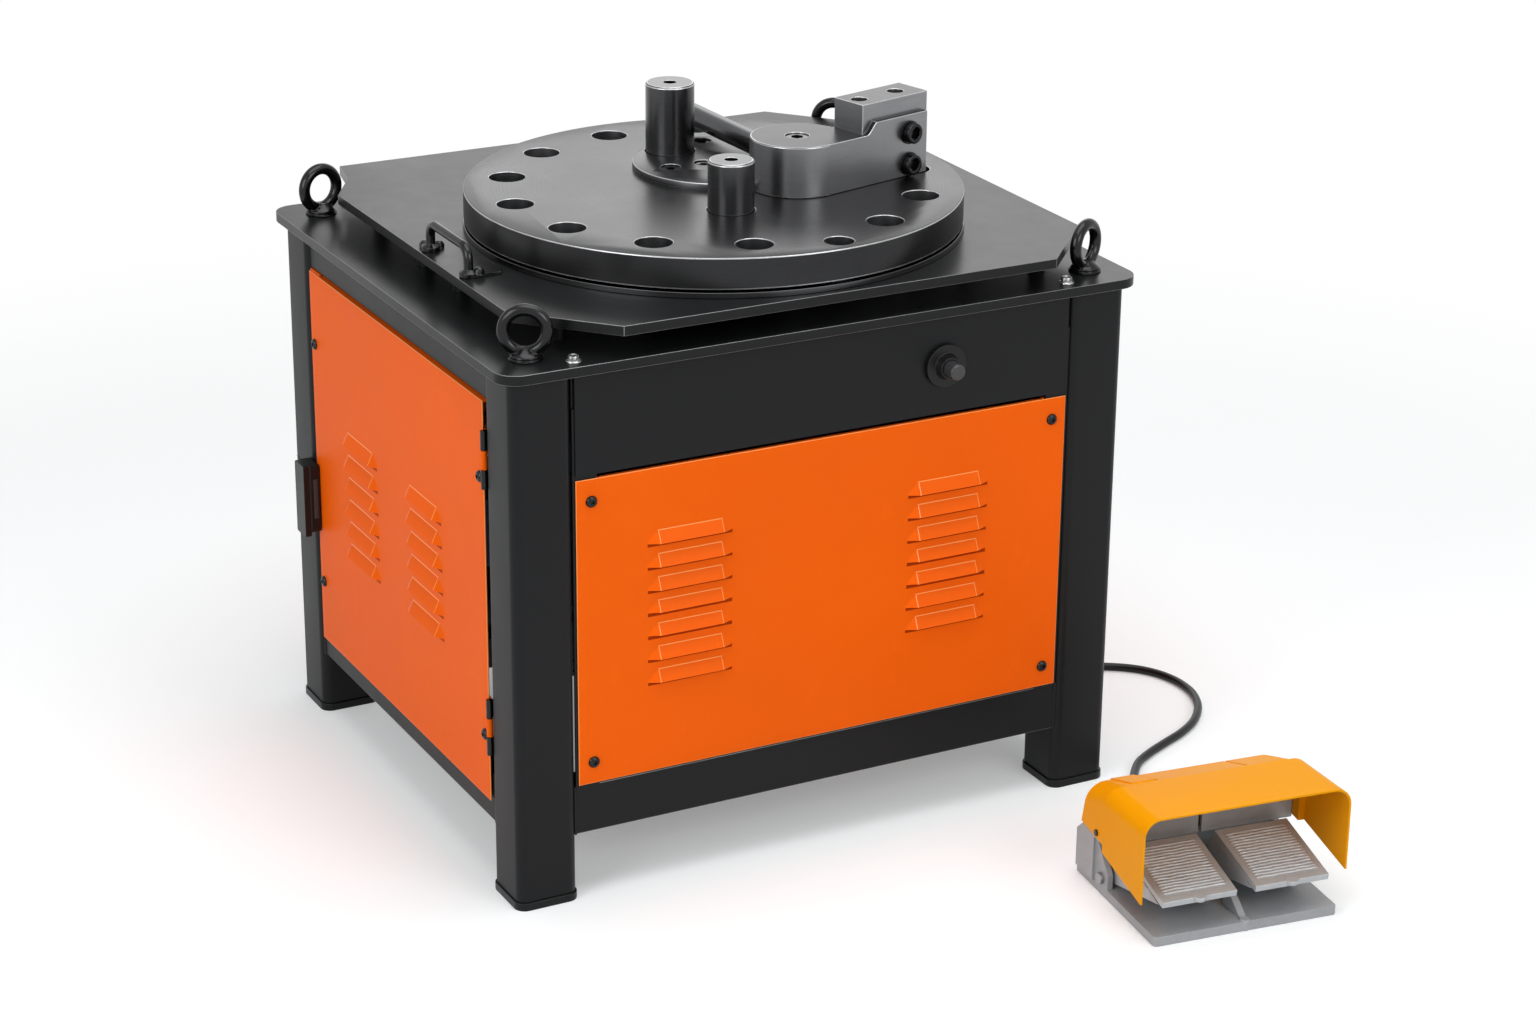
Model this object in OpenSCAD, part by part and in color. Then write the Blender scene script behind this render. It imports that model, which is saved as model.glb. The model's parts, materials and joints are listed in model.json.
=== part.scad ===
// Electric rebar bender: a steel cabinet with a driven bending disc on top and a double foot switch.
// All sizes are in millimetres. The front faces -Y, up is +Z, and the origin is on the floor
// under the middle of the four feet.

/* [Frame] */
// Width over the legs
frame_w = 800; // [780:2:840]
// Depth over the legs
frame_d = 696; // [690:2:730]
// Side of the square leg tube
leg_size = 75; // [68:1:80]
// Outer corner radius of the leg tube
leg_round = 12; // [6:1:16]
// Wall of the leg tube
leg_wall = 4; // [3:0.5:6]
// Height of the foot pads
foot_h = 10; // [8:1:16]
// How far a foot pad stands out past its leg
foot_lip = 2; // [1:0.5:5]
// Radius of the levelling thread in each foot pad
foot_thread_r = 7; // [5:0.5:9]
// Height of the lower rails' underside
rail_z = 82; // [70:1:100]
// Height of the lower rails
rail_h = 60; // [50:1:66]
// Thickness of all rails
rail_d = 40; // [30:1:46]
// Wall of the rail tubes
rail_wall = 3; // [2:0.5:5]
// How far the rails lie behind the legs' faces
rail_set = 5; // [4:0.5:8]
// Height of the upper rails
upper_rail_h = 43; // [36:1:46]

/* [Table] */
// Height of the table plate's top
table_height = 661; // [655:1:690]
// Thickness of the table plate
table_t = 12; // [8:1:16]
// Overhang of the table plate past the legs
table_over = 14; // [8:1:20]
// Corner radius of the table plate
table_round = 28; // [10:1:32]
// Gap between the table plate and the cover plate
spacer_h = 27; // [24:1:32]
// Radius of the round spacers
spacer_r = 10.5; // [8:0.5:14]
// Thickness of the cover plate
cover_t = 12; // [8:1:14]
// How far the cover plate's sides lie inside the table plate's
cover_in = 38; // [30:1:48]
// How far the cover plate's middle lies right of the frame's
cover_shift = 12; // [0:1:14]
// How far the cover plate stands out behind the table plate
cover_over = 10; // [0:1:12]
// Width of the cut at three of the cover plate's corners
cover_cut_x = 96; // [90:1:100]
// Depth of the cut at those corners
cover_cut_y = 103; // [98:1:110]
// Height of the wear ring under the disc
ring_h = 7; // [5:0.5:8]
// How far the wear ring stands out past the disc
ring_lip = 1; // [0.5:0.5:3]

/* [Sheet panels] */
// Thickness of the sheet
sheet_t = 2; // [1.5:0.25:2.5]
// How far the panels lie behind the legs' faces
panel_set = 1; // [0.5:0.25:1.5]
// Gap between a panel and the legs
panel_gap = 3; // [2:0.5:4]
// Height of the door's lower edge
door_bottom = 108; // [100:1:116]
// Height of the black fascia
fascia_h = 122; // [116:1:126]
// Gap between the fascia and the front panel
fascia_gap = 5; // [3:1:8]
// Width of a louvre at its tips
louvre_w = 112; // [90:1:120]
// Width of a louvre's raised face
louvre_face_w = 81; // [60:1:86]
// Height of a louvre
louvre_h = 15; // [10:0.5:18]
// How far a louvre stands out
louvre_out = 7; // [4:0.5:10]
// Height from one louvre to the next
louvre_pitch = 28.7; // [24:0.1:32]
// Height of the top louvre's lower edge, as a share of the front panel's height
louvre_top_share = 0.758; // [0.7:0.002:0.77]
// And as a share of the door's height
door_top_share = 0.612; // [0.56:0.002:0.64]
// Louvres in a column of the front panel
front_rows = 7; // [4:1:7]
// Louvres in a column of the door
door_rows = 6; // [4:1:6]
// Radius of the panel screws' heads
screw_head_r = 7; // [5:0.5:8]

/* [Bending disc] */
// Width of the cover plate to either side of the disc
disc_margin = 76; // [72:1:88]
// Thickness of the bending disc
disc_t = 38; // [30:1:45]
// Gap between the wear ring and the disc
disc_gap = 3; // [2:0.5:5]
// How far the spindle stands in front of the frame's middle
spindle_fwd = 52; // [40:1:56]
// Radius of the tool holes near the rim
rim_hole_r = 22; // [18:0.5:24]
// How far the tool holes' middles lie inside the disc's edge
rim_in = 50; // [46:1:56]
// Tool holes on that circle
rim_holes = 13; // [6:1:13]
// Angle from one tool hole to the next
rim_step = 26.5; // [22:0.5:27]
// Radius of the small stop hole between the first and last tool holes
stop_hole_r = 17.5; // [10:0.5:20]
// Radius of the eccentric hub plate
hub_r = 108; // [100:1:112]
// Thickness of the hub plate
hub_t = 8; // [5:0.5:8]

/* [Pins] */
// Radius of the centre pin
centre_pin_r = 30; // [26:0.5:32]
// Height of the centre pin above the disc
centre_pin_h = 94; // [70:1:110]
// Radius of the bending pin
bend_pin_r = 27.5; // [24:0.5:30]
// Height of the bending pin above the disc
bend_pin_h = 61; // [45:1:80]
// Radius of both pins' shanks
shank_r = 19.95; // [16:0.05:21]
// Depth of the shanks in the disc
shank_l = 34; // [20:1:36]
// Radius of the lifting thread in the pins' tops
lift_hole_r = 8; // [5:0.5:10]
// Depth of that thread
lift_hole_l = 30; // [15:1:40]

/* [Bending arm] */
// Radius of the arm's round nose
nose_r = 56.5; // [50:0.5:58]
// Height of the nose
nose_h = 62; // [58:1:70]
// Height of the cheek behind the nose
cheek_h = 76; // [74:1:80]
// Thickness of the cheek
cheek_t = 7.5; // [6:0.5:10]
// Length of the arm from its pivot to its end
arm_l = 162; // [150:1:170]
// Direction of the arm at rest
arm_turn = 14.5; // [10:0.5:16]
// Height of the clamp block's top over the disc
clamp_h = 98; // [92:1:110]
// Depth of the clamp block, front to back
clamp_d = 49; // [46:1:52]
// Radius of the two tool holes in the clamp block
clamp_hole_r = 10; // [6:0.5:12]
// Depth of the two tool holes
clamp_hole_l = 34; // [20:1:35]
// Radius of the clamp screws' heads
cap_head_r = 12.5; // [10:0.5:14]
// Radius of the stop bar
bar_r = 14; // [12:0.5:16]
// Reach of the stop bar behind the nose
bar_reach = 204; // [180:1:206]
// Height of the stop bar's axis over the disc
bar_z = 27; // [25:0.5:34]
// Lean of the stop bar to the left, in degrees
bar_lean = 2.5; // [0:0.5:4]

/* [Spindle and gears] */
// Radius of the spindle in its bearings
spindle_r = 45; // [38:0.5:50]
// Radius of the spindle below its bearings
spindle_tail_r = 40; // [32:0.5:44]
// Radius of the spindle's flange under the disc
flange_r = 125; // [110:1:130]
// Thickness of that flange
flange_t = 13; // [10:0.5:16]
// Outer radius of the spindle housing
housing_r = 85; // [80:0.5:88]
// Outer radius of the bearings
bearing_r = 70; // [64:0.5:74]
// Thickness of the bearings
bearing_t = 26; // [18:1:30]
// Radius of the housing's bolting flange
housing_flange_r = 125; // [115:1:130]
// Gear module
gear_module = 5; // [4.5:0.1:5.2]
// Teeth of the main gear
main_teeth = 60; // [48:4:60]
// Teeth of the pinion
pinion_teeth = 15; // [14:1:16]
// Face width of the main gear
gear_w = 45; // [30:1:50]
// Direction from the spindle to the pinion
pinion_dir = 50; // [48:1:60]
// Radius of the pinion's shaft
pinion_shaft_r = 20; // [15:0.5:22]

/* [Motor and belts] */
// Distance from the motor's axis to the gearbox's
belt_centres = 250; // [240:1:260]
// Pitch radius of the driven pulley
big_pulley_r = 100; // [85:1:105]
// Pitch radius of the motor pulley
small_pulley_r = 40; // [34:1:44]
// Width of one V-belt's groove
groove_w = 14; // [12:0.5:16]
// Radius of the motor's casing over its fins
motor_r = 86; // [75:1:90]
// Height from the top of the motor to the main gear
motor_gap = 90; // [80:2:130]
// Height of the motor's fan cowl
cowl_h = 50; // [36:1:60]
// Side of the square gearbox
gearbox_w = 180; // [150:2:186]
// Height of the drive bed's beams
beam_h = 40; // [30:1:50]
// Thickness of the drive bed's plate
bed_t = 12; // [8:1:16]

/* [Push button] */
// Distance of the button right of the middle
button_x = 152; // [100:1:200]
// How far the button's axis lies under the table plate
button_down = 63; // [60:1:76]
// Radius of the button
button_r = 10; // [8:0.5:12]
// How far the button stands out of the fascia
button_out = 33; // [25:1:40]
// Radius of the bezel's flange
bezel_r = 26; // [22:0.5:30]

/* [Door latch] */
// Height of the latch's middle
latch_z = 304; // [250:1:340]
// Height of the latch
latch_h = 96; // [80:1:110]
// Width of the latch
latch_w = 34; // [30:1:40]
// How far the latch stands out
latch_out = 21; // [16:1:28]

/* [Lifting eyes and handle] */
// How far the eyebolts lie inside the legs' outer faces, sideways
eye_in_x = 35.5; // [32:0.5:38]
// How far the eyebolts lie inside the legs' outer faces, front to back
eye_in_y = 37; // [34:1:40]
// Inner radius of an eyebolt's ring
eye_r = 17.5; // [14:0.5:20]
// Radius of the ring's bar
eye_bar_r = 7; // [5:0.5:8]
// Radius of the grab handle's bar
grip_r = 5.5; // [4:0.5:7]
// Length of the grab handle between its feet
grip_l = 112; // [90:1:130]
// Height of the grab handle's bar over the cover plate
grip_h = 34; // [28:1:45]

/* [Foot switch] */
// Width of the base plate
pedal_base_w = 236; // [230:1:240]
// Depth of the base plate
pedal_base_d = 208; // [204:1:216]
// Thickness of the base plate
pedal_base_t = 12; // [8:1:14]
// Width of the guard hood at its mouth
hood_w = 266; // [262:1:272]
// Height of the hood's top at its mouth
hood_top = 157.5; // [154:0.5:162]
// Height of the hood's front tips
hood_tip_z = 52; // [48:1:58]
// Thickness of the hood's sheet
hood_t = 2.5; // [2:0.25:3]
// Gap between the two treads
tread_gap = 24; // [20:1:34]
// Length of a pedal's tread
tread_l = 108; // [96:1:110]
// Thickness of a pedal's tread
tread_t = 8; // [6:0.5:9]
// Slope of the treads at rest
tread_slope = 12; // [10:0.5:14]
// Radius of the pedal shaft
pedal_shaft_r = 4; // [3:0.25:5]

/* [Cable] */
// Diameter of the foot switch cable
cable_d = 11; // [9:0.5:12]

/* [Hidden] */
$fn = 48;

// General clearances
over = 1;  // overrun of every cut
fit = 0.3;  // gap between neighbours on different bodies
run = 0.05;  // radial running clearance of shafts and pins
seat = 0.02;  // radial clearance of pressed seats

// Frame
leg_x = frame_w/2 - leg_size/2;
leg_y = frame_d/2 - leg_size/2;
inner_x = frame_w/2 - leg_size;
inner_y = frame_d/2 - leg_size;
table_under = table_height - table_t;
rail_top = rail_z + rail_h;
upper_rail_z = table_under - upper_rail_h;
rail_x = frame_w/2 - rail_set - rail_d/2;
rail_y = frame_d/2 - rail_set - rail_d/2;
plug_h = 15;

// Plates over the table
table_w = frame_w + 2*table_over;
table_d = frame_d + 2*table_over;
cover_z = table_height + spacer_h;
cover_top = cover_z + cover_t;
disc_z = cover_top + ring_h + disc_gap;
disc_top = disc_z + disc_t;
spindle_y = -spindle_fwd;
cover_w = table_w - 2*cover_in;
cover_back = table_d/2 + cover_over;
eye_x = frame_w/2 - eye_in_x;
eye_y = frame_d/2 - eye_in_y;
spacer_in = 33;  // from the cover plate's edge to the side spacers
corner_in = 60;  // and to the corner spacers
corner_back = 100;
spacer_front = table_d/2 - corner_back;  // distance of the corner spacers from the middle
spacer_side = 54;  // and of the side spacers
left_cuts = [[0, 120], [37, 58], [49, 0]];  // the back left corner's outline, from the plate's edges
stud_cap = 4;  // metal left over the studs' blind holes
m10_r = 5;
m10_head_r = 9;
m10_head_h = 7;
dome_shares = [[1, 0], [1, 0.33], [0.8, 0.8], [0.45, 1], [0, 1]];  // a domed head's outline
disc_r = cover_w/2 - disc_margin;
rim_circle_r = disc_r - rim_in;

// Panels
panel_x = frame_w/2 - panel_set;  // outer face of the side panels
panel_y = frame_d/2 - panel_set;  // outer face of the front and back panels
front_half = inner_x - panel_gap;
side_half = inner_y - panel_gap;
strip_w = 30;
strip_t = 3;
front_bottom = rail_top + panel_gap;
side_top = upper_rail_z - panel_gap;
fascia_bottom = table_under - panel_set - fascia_h;
front_top = fascia_bottom - fascia_gap;
louvre_top = front_bottom + louvre_top_share*(front_top - front_bottom);
louvre_wall = 1.5;
front_louvres = [-179, 162];  // middles of the front panel's louvre columns
door_louvres = [-84, 116];  // middles of the door's louvre columns
door_louvre_top = door_bottom + door_top_share*(side_top - door_bottom);
door_pitch_more = 0.8;
door_louvre_pitch = louvre_pitch + door_pitch_more;
screw_r = 4;
screw_head_h = 4;
screw_shares = [[1, 0.3], [0.8, 0.8]];  // the screw head's outline
socket_r = 2.8;
socket_deep = 2.4;
screw_l = 10;
screw_in = 22;  // from the leg to the screws' axes
screw_up = 27;  // from a panel's lower or upper edge to its screws
door_screw_in = [82, 93];  // from the door's lower and upper edges to its screws
door_screw_z = [door_bottom + door_screw_in[0], side_top - door_screw_in[1]];

// Door and its hinges, along the door's front edge
hinge_r = 4;
hinge_x = -frame_w/2;
hinge_gap = 1;
hinge_y = hinge_gap - inner_y;
hinge_l = 70;
hinge_in = [62, 103];  // and to its hinges
hinge_z = [door_bottom + hinge_in[0], side_top - hinge_in[1]];
hinge_pin_r = 2;
leaf_t = 2;
leaf_w = 22;
door_front = hinge_y + hinge_r + hinge_gap;

// Disc, hub and pins
rim_first = 295.7;
stop_circle_r = rim_circle_r + rim_hole_r;
hub_x = 42;
hub_y = 64;
centre_pin_x = 5;
centre_pin_y = 129;
bend_pin_x = -32;
bend_pin_y = -107;
pin_seat_gap = 1.2;
bend_seat_h = 4;
pin_chamfer = 2;
edge = 1;  // small eased edge of turned pieces
disc_edge = 1.5;  // and of the disc's top
nose_x = 84;
nose_y = -53;
nose_gap = 1.5;
hub_screw_r = 6;
hub_screw_l = 12;
hub_screw_sink = 2;
hub_socket_r = 5.4;
hub_socket_deep = 5;
hub_screw_at = [[-27, 62], [17, 61], [112, 104], [60, 152]];

// Arm, in its own frame: s along the arm, t across it, the pivot at the origin
cheek_s = 62;
cheek_steps = 8;
cheek_rise_share = 1.2;  // length of the cheek's rise, as a share of its height
clamp_gap = 0.3;
clamp_in = 4;  // from the nose's circle to the clamp block
clamp_over = 6;  // how far the block stands out past the cheek's end
clamp_s = nose_r + clamp_in;
clamp_l = arm_l + clamp_over - clamp_s;
clamp_hole_shares = [0.16, 0.72];
clamp_bore_share = 0.6;  // depth of the cap screws' bores in the block
clamp_screw_share = 0.5;  // and of the screws in them
cheek_front = -nose_r;
clamp_front = cheek_front + cheek_t;
cap_in = 30;
cap_s = arm_l - cap_in;
cap_z = [15, 54];
cap_r = 8;
cap_head_h = 11;
cap_socket_h = 6.6;
cap_washer = 2;
arm_bolt_r = 12;
arm_bolt_head_r = 14;
arm_bolt_sink = 9;
arm_bolt_head_h = 7;
arm_bolt_low = 0.6;  // gap under the bolt's end
arm_socket_r = 7.7;
arm_socket_deep = 4.6;
bar_chamfer = 2;
bar_gap = 1;  // gap behind the stop bar's spigot
bar_spigot_r = 8;
bar_spigot_l = 20;
bar_dir = 90 - arm_turn + bar_lean;
bar_seat_h = 4;

// Spindle housing, bearings and gears
housing_proud = 1;
bearing_sink = 4;
bearing_drop = 66;
bearing_step = 8;  // the shoulders that the bearings rest against
bearing_race = 7;
bearing_groove = 1;
housing_lip = 6;
gear_space = 8;
gear_hub_over = 6;
gear_hub_wall = 20;
spindle_under = 20;
flange_slope = 20;
housing_top = cover_z + housing_proud;
bearing_top_z = housing_top - bearing_sink - bearing_t;
bearing_low_z = table_under - bearing_drop;
housing_bottom = bearing_low_z - housing_lip;
housing_flange_t = 12;
main_gear_z = housing_bottom - gear_space - gear_w;
gear_hub_h = gear_w + gear_hub_over;
spindle_low = main_gear_z - spindle_under;
main_r = gear_module*main_teeth/2;
pinion_r = gear_module*pinion_teeth/2;
gear_gap = 0.2;
gear_centres = main_r + pinion_r + gear_gap;
gear_x = gear_centres*cos(pinion_dir);
gear_y = spindle_y + gear_centres*sin(pinion_dir);
pressure_angle = 20;
backlash = 0.35;
flank_steps = 4;
root_share = 1.25;
gear_hole_count = 6;
gear_hole_shares = [0.65, 0.1667];  // the lightening holes' circle and radius
pinion_over = 2;  // how far the pinion stands out past the gear's faces
pinion_shaft_in = 20;

// Drive bed, motor, gearbox and belts
bed_z = rail_top + beam_h;
bed_top = bed_z + bed_t;
motor_x = gear_x - belt_centres;
motor_y = gear_y;
belt_drop = 74;
belt_z = bed_z - belt_drop;  // middle of the pulleys
belt_h = 8;
belt_w = 9.6;
belt_count = 2;
belt_steps = 18;
pulley_rim = 5;
pulley_w = belt_count*groove_w + 2*pulley_rim;
groove_d = 12;
groove_land = 1;
motor_shaft_r = 14;
shaft_in = 38;  // depth of the belt pulleys' shafts over the bed
shaft_bore = 40;
motor_h = main_gear_z - motor_gap - cowl_h - bed_top;
motor_foot_t = 14;
motor_foot_out = 10;
motor_fins = 32;
fin_shares = [0, 0.3, 0.4, 0.9];
fin_h = 8;
cowl_out = 2;
cowl_round = 12;
terminal_w = 90;
terminal_d = 60;
terminal_out = 26;
terminal_shares = [0.6, 0.474];  // the terminal box's middle and height, by the casing's height
gearbox_gap = 28;
gearbox_top = main_gear_z - gearbox_gap;
gearbox_cover_t = 12;
gearbox_foot_t = 14;
gearbox_foot_out = 12;
gearbox_rib_out = 8;
gearbox_round = 16;
bed_margin = 14;
bed_hole_gap = 12;
box_down = 88;
box_z = side_top - box_down;  // middle of the control box
box_h = 150;
box_w = 200;
box_d = 90;
box_round = 8;

// Button
bezel_t = 6;
bezel_neck_r = 15;
bezel_neck_l = 24;
collar_r = 14;
collar_l = 10;
collar_taper = [-1, 2];
button_z = table_under - button_down;
button_in = 9;
button_wire_r = 0.7;
button_coil_r = 7;
button_coil_gap = 0.8;
button_turns = 4;
switch_w = 34;
switch_l = 40;

// Latch
latch_in = 12;
latch_y = side_half - latch_in;  // front face of the latch
latch_base_share = 0.6;  // share of its depth taken by its base
latch_step = 3;
latch_slot_w = 6;
latch_slot_d = 14;
latch_slot_h = 54;
latch_travel = 3;
paddle_out = 0.6;

// Springs
wire_sides = 6;
curl_rings = 8;

// Grab handle and eyebolts
grip_in = 14;
grip_x = cover_shift - cover_w/2 + grip_in;
grip_y = -66;
grip_foot_shares = [2, 1.6, 3];  // foot's radius, its height and the bend, by the bar's radius
lug_w = 44;  // flat lug at the handle's front foot
lug_d = 50;
lug_t = 4;
lug_shares = [[0.85, -0.18], [1, 0.11], [0.92, 1], [0.5, 1.1]];
eye_ring_r = eye_r + eye_bar_r;
eye_collar_r = eye_r;
eye_collar_h = 8;
eye_shank_r = 8;
eye_shares = [0.7, 0.85, 0.8];  // the collar's upright side, its top, and the neck over it
eye_washer = 2;
eye_turns = [-28, 29, -42, 16];  // the rings' turns: front left, front right, back right, back left
table_bolt_in = [94, 21];  // from the table plate's edges to its bolts
table_bolt_x = table_w/2 - table_bolt_in[0];
table_bolt_y = table_d/2 - table_bolt_in[1];

// Foot switch, in its own frame: x across it, y back from its front edge
pedal_off = [-106.7, -757.6];  // from the foot switch cable's gland to the middle of its front edge
pedal_turn = -7;
hood_front = 10;
hood_fold = 112;  // where the hood's front and rear sheets meet
hood_drop = 6;
hood_fold_z = hood_top - hood_drop;  // and the top's height there
hood_side_z = 70;  // height of the side's lower edge there
hood_step = 8;  // how much narrower each side of the rear sheet is
hood_rear_w = hood_w - 2*hood_step;
hood_rear_y = 171;  // back edge of the top
hood_rear_drop = 20.5;
hood_rear_top = hood_fold_z - hood_rear_drop;
hood_low_y = 184;  // back edge of the sides, at their lower end
hood_low_z = 77;
hood_round = 22;
hood_lean = atan((hood_top - hood_fold_z)/(hood_fold - hood_front));
hood_rear_lean = atan((hood_fold_z - hood_rear_top)/(hood_rear_y - hood_fold));
hood_pad_x = [-96, -66];  // the raised pad on the rear sheet, and the seams beside it
hood_pad_t = 1.5;
hood_seam_x = [-64, 52];
hood_seam_w = 3;
strip_in = 5;
hood_screw_r = 2;
hood_screw_y = 143;
hood_screw_z = 80;
screw_cap = 2;
case_w = hood_rear_w - 2*hood_t - 2*fit;
case_y = 124;
case_rim = 7;
case_back = pedal_base_d - case_rim;
case_low_y = 156;
case_shoulder_z = 60;
case_wall = 5;
case_step_z = 68;
base_round = 5;
seam_w = 4;
cheek_plate_t = 8;
cheek_gap = 3;
cheek_fore = 14;  // how far the cheeks reach in front of the shaft
fin_y = [5, 40, 52];  // the fin between the treads
fin_z = 34;
fin_t = 9;
fin_boss_r = 6;
fin_boss_h = 2;
shaft_out = 2;
shaft_head_t = 5;
shaft_head_out = 3;
shaft_y = 138;
shaft_z = 22;
pedal_hub_r = 8;
tread_front_y = 4;
tread_front_z = 53;
tread_w = pedal_base_w/2 - cheek_plate_t - cheek_gap - tread_gap/2;
tread_x = (tread_gap + tread_w)/2;
tread_ribs = 14;
tread_boss_r = 8;
rib_in = 7;
rib_first = 14;
rib_pitch = 6.2;
rib_w = 3;
rib_h = 1.2;
skirt_t = 5;
skirt_in = 12;
skirt_gap = 1;
skirt_low = 2;
contact_w = 50;  // the two contact blocks in the foot switch's case
contact_d = 20;
contact_h = 28;
contact_in = 22;
contact_up = 14;
spring_y = 72;
spring_r = 7;
spring_wire_r = 1.1;
spring_turns = 5;
spring_gap = 1;
pedal_spring_top = tread_front_z - tread_t/cos(tread_slope)
    + (spring_y - spring_r - 2*spring_wire_r - tread_front_y)*tan(tread_slope) - spring_gap;

// Cable: from the gland on the right panel to the gland at the foot switch's back
gland_y = -8;
gland_z = 172;
gland_l = 34;
gland_r = 11;
gland_hex_r = 13;
gland_in = 14;
gland_step = 1.8;
gland_shares = [0.2, 0.24, 0.6, 0.75];  // heights of the gland's nut and dome
mains_gland_z = 240;
cable_rise = 0.2;
cable_z = cable_d/2 + cable_rise;
pedal_gland_z = 28;
cable_start = [panel_x + gland_l + fit, gland_y, gland_z];
pedal_at = [cable_start[0] + pedal_off[0], cable_start[1] + pedal_off[1]];
cable_sides = 10;
cable_route = [
    [0, 0, 0], [12, 0, 0], [26, 0, -3], [38, 0, -13], [46, -1, -30], [50, -2, -52], [52, -4, -78],
    [55, -6, -103], [61, -9, -126], [71, -14, -145], [86, -23, -159], [107, -37, -166], [137, -57, -167],
    [165, -75, -167], [186, -95, -167], [201, -121, -167], [208, -154, -167], [204, -191, -167],
    [187, -228, -167], [158, -261, -167], [124, -284, -167], [87, -301, -167], [53, -317, -167],
    [25, -334, -167], [5, -355, -167], [-16, -383, -167], [-36, -412, -167], [-53, -442, -165],
    [-65, -469, -159], [-72, -491, -150], [-76, -508, -144], [-78, -524, -144]];

// 2-D helpers
module rounded(w, d, r) {
    square([w - 2*r, d], center = true);
    square([w, d - 2*r], center = true);
    for (x = [-1, 1], y = [-1, 1]) translate([x*(w/2 - r), y*(d/2 - r)]) circle(r);
}
module four(x, y) { for (i = [-1, 1], j = [-1, 1]) translate([i*x, j*y, 0]) children(); }
module disc_place() { translate([0, spindle_y, disc_top]) children(); }
module arm_place() { disc_place() translate([nose_x, nose_y, fit]) rotate([0, 0, arm_turn]) children(); }
module pedal_place() { translate([pedal_at[0], pedal_at[1], 0]) rotate([0, 0, pedal_turn]) children(); }
module along_x() { rotate([90, 0, 90]) children(); }
module along_y() { rotate([90, 0, 0]) mirror([0, 0, 1]) children(); }

// Swept tubes: rings of a circle carried along a list of points
function unit(v) = v/norm(v);
function heading(p, i) = unit(p[min(i + 1, len(p) - 1)] - p[max(i - 1, 0)]);
function side_of(h) = abs(h[2]) > 0.9 ? unit(cross(h, [1, 0, 0])) : unit(cross(h, [0, 0, 1]));
function carried(s, h) = unit(s - h*(s*h));
function sides_along(p, i, s) = i == len(p) ? [] :
    let (now = carried(s, heading(p, i))) concat([now], sides_along(p, i + 1, now));
module tube(p, r, sides) {
    n = len(p);
    frames = sides_along(p, 0, side_of(heading(p, 0)));
    points = [for (i = [0:n - 1], k = [0:sides - 1])
        let (a = 360*k/sides, u = frames[i], v = cross(heading(p, i), u)) p[i] + r*(u*cos(a) + v*sin(a))];
    skin = [for (i = [0:n - 2], k = [0:sides - 1])
        let (a = i*sides + k, b = i*sides + (k + 1)%sides)
        each [[a, b + sides, b], [a, a + sides, b + sides]]];
    start = [for (k = [1:sides - 2]) [0, k, k + 1]];
    finish = [for (k = [1:sides - 2]) [(n - 1)*sides, (n - 1)*sides + k + 1, (n - 1)*sides + k]];
    polyhedron(points, concat(skin, start, finish));
}
// A smooth curve through the route's points, two rings to each stretch
function spline(p, i, t) =
    let (a = p[max(i - 1, 0)], b = p[i], c = p[i + 1], d = p[min(i + 2, len(p) - 1)])
    0.5*((2*b) + (c - a)*t + (2*a - 5*b + 4*c - d)*t*t + (3*b - a - 3*c + d)*t*t*t);
function smooth(p, n) = concat([for (i = [0:len(p) - 2], k = [0:n - 1]) spline(p, i, k/n)], [p[len(p) - 1]]);
function coil(r, h, turns, rings) = [for (i = [0:turns*rings])
    [r*cos(360*i/rings), r*sin(360*i/rings), h*i/(turns*rings)]];

// Frame of the cabinet
module legs() color("#202124") four(leg_x, leg_y) translate([0, 0, foot_h])
    linear_extrude(table_under - foot_h) difference() {
        rounded(leg_size, leg_size, leg_round);
        rounded(leg_size - 2*leg_wall, leg_size - 2*leg_wall, leg_round - leg_wall);
    }
module foot_pads() color("#161618") four(leg_x, leg_y) difference() {
    union() {
        linear_extrude(foot_h) rounded(leg_size + 2*foot_lip, leg_size + 2*foot_lip, leg_round + foot_lip);
        translate([0, 0, foot_h]) linear_extrude(plug_h)
            rounded(leg_size - 2*leg_wall - fit, leg_size - 2*leg_wall - fit, leg_round - leg_wall);
    }
    translate([0, 0, -over]) cylinder(foot_h + plug_h + 2*over, r = foot_thread_r);
}
module rail(length, height) along_x() translate([0, height/2, -length/2]) linear_extrude(length)
    difference() {
    square([rail_d, height], center = true);
    square([rail_d - 2*rail_wall, height - 2*rail_wall], center = true);
}
module rail_set_of_four(height) {
    for (y = [-1, 1]) translate([0, y*rail_y, 0]) rail(2*inner_x, height);
    for (x = [-1, 1]) translate([x*rail_x, 0, 0]) rotate([0, 0, 90]) rail(2*inner_y, height);
}
module lower_rails() color("#202124") translate([0, 0, rail_z]) rail_set_of_four(rail_h);
module upper_rails() color("#202124") translate([0, 0, upper_rail_z]) rail_set_of_four(upper_rail_h);

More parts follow.
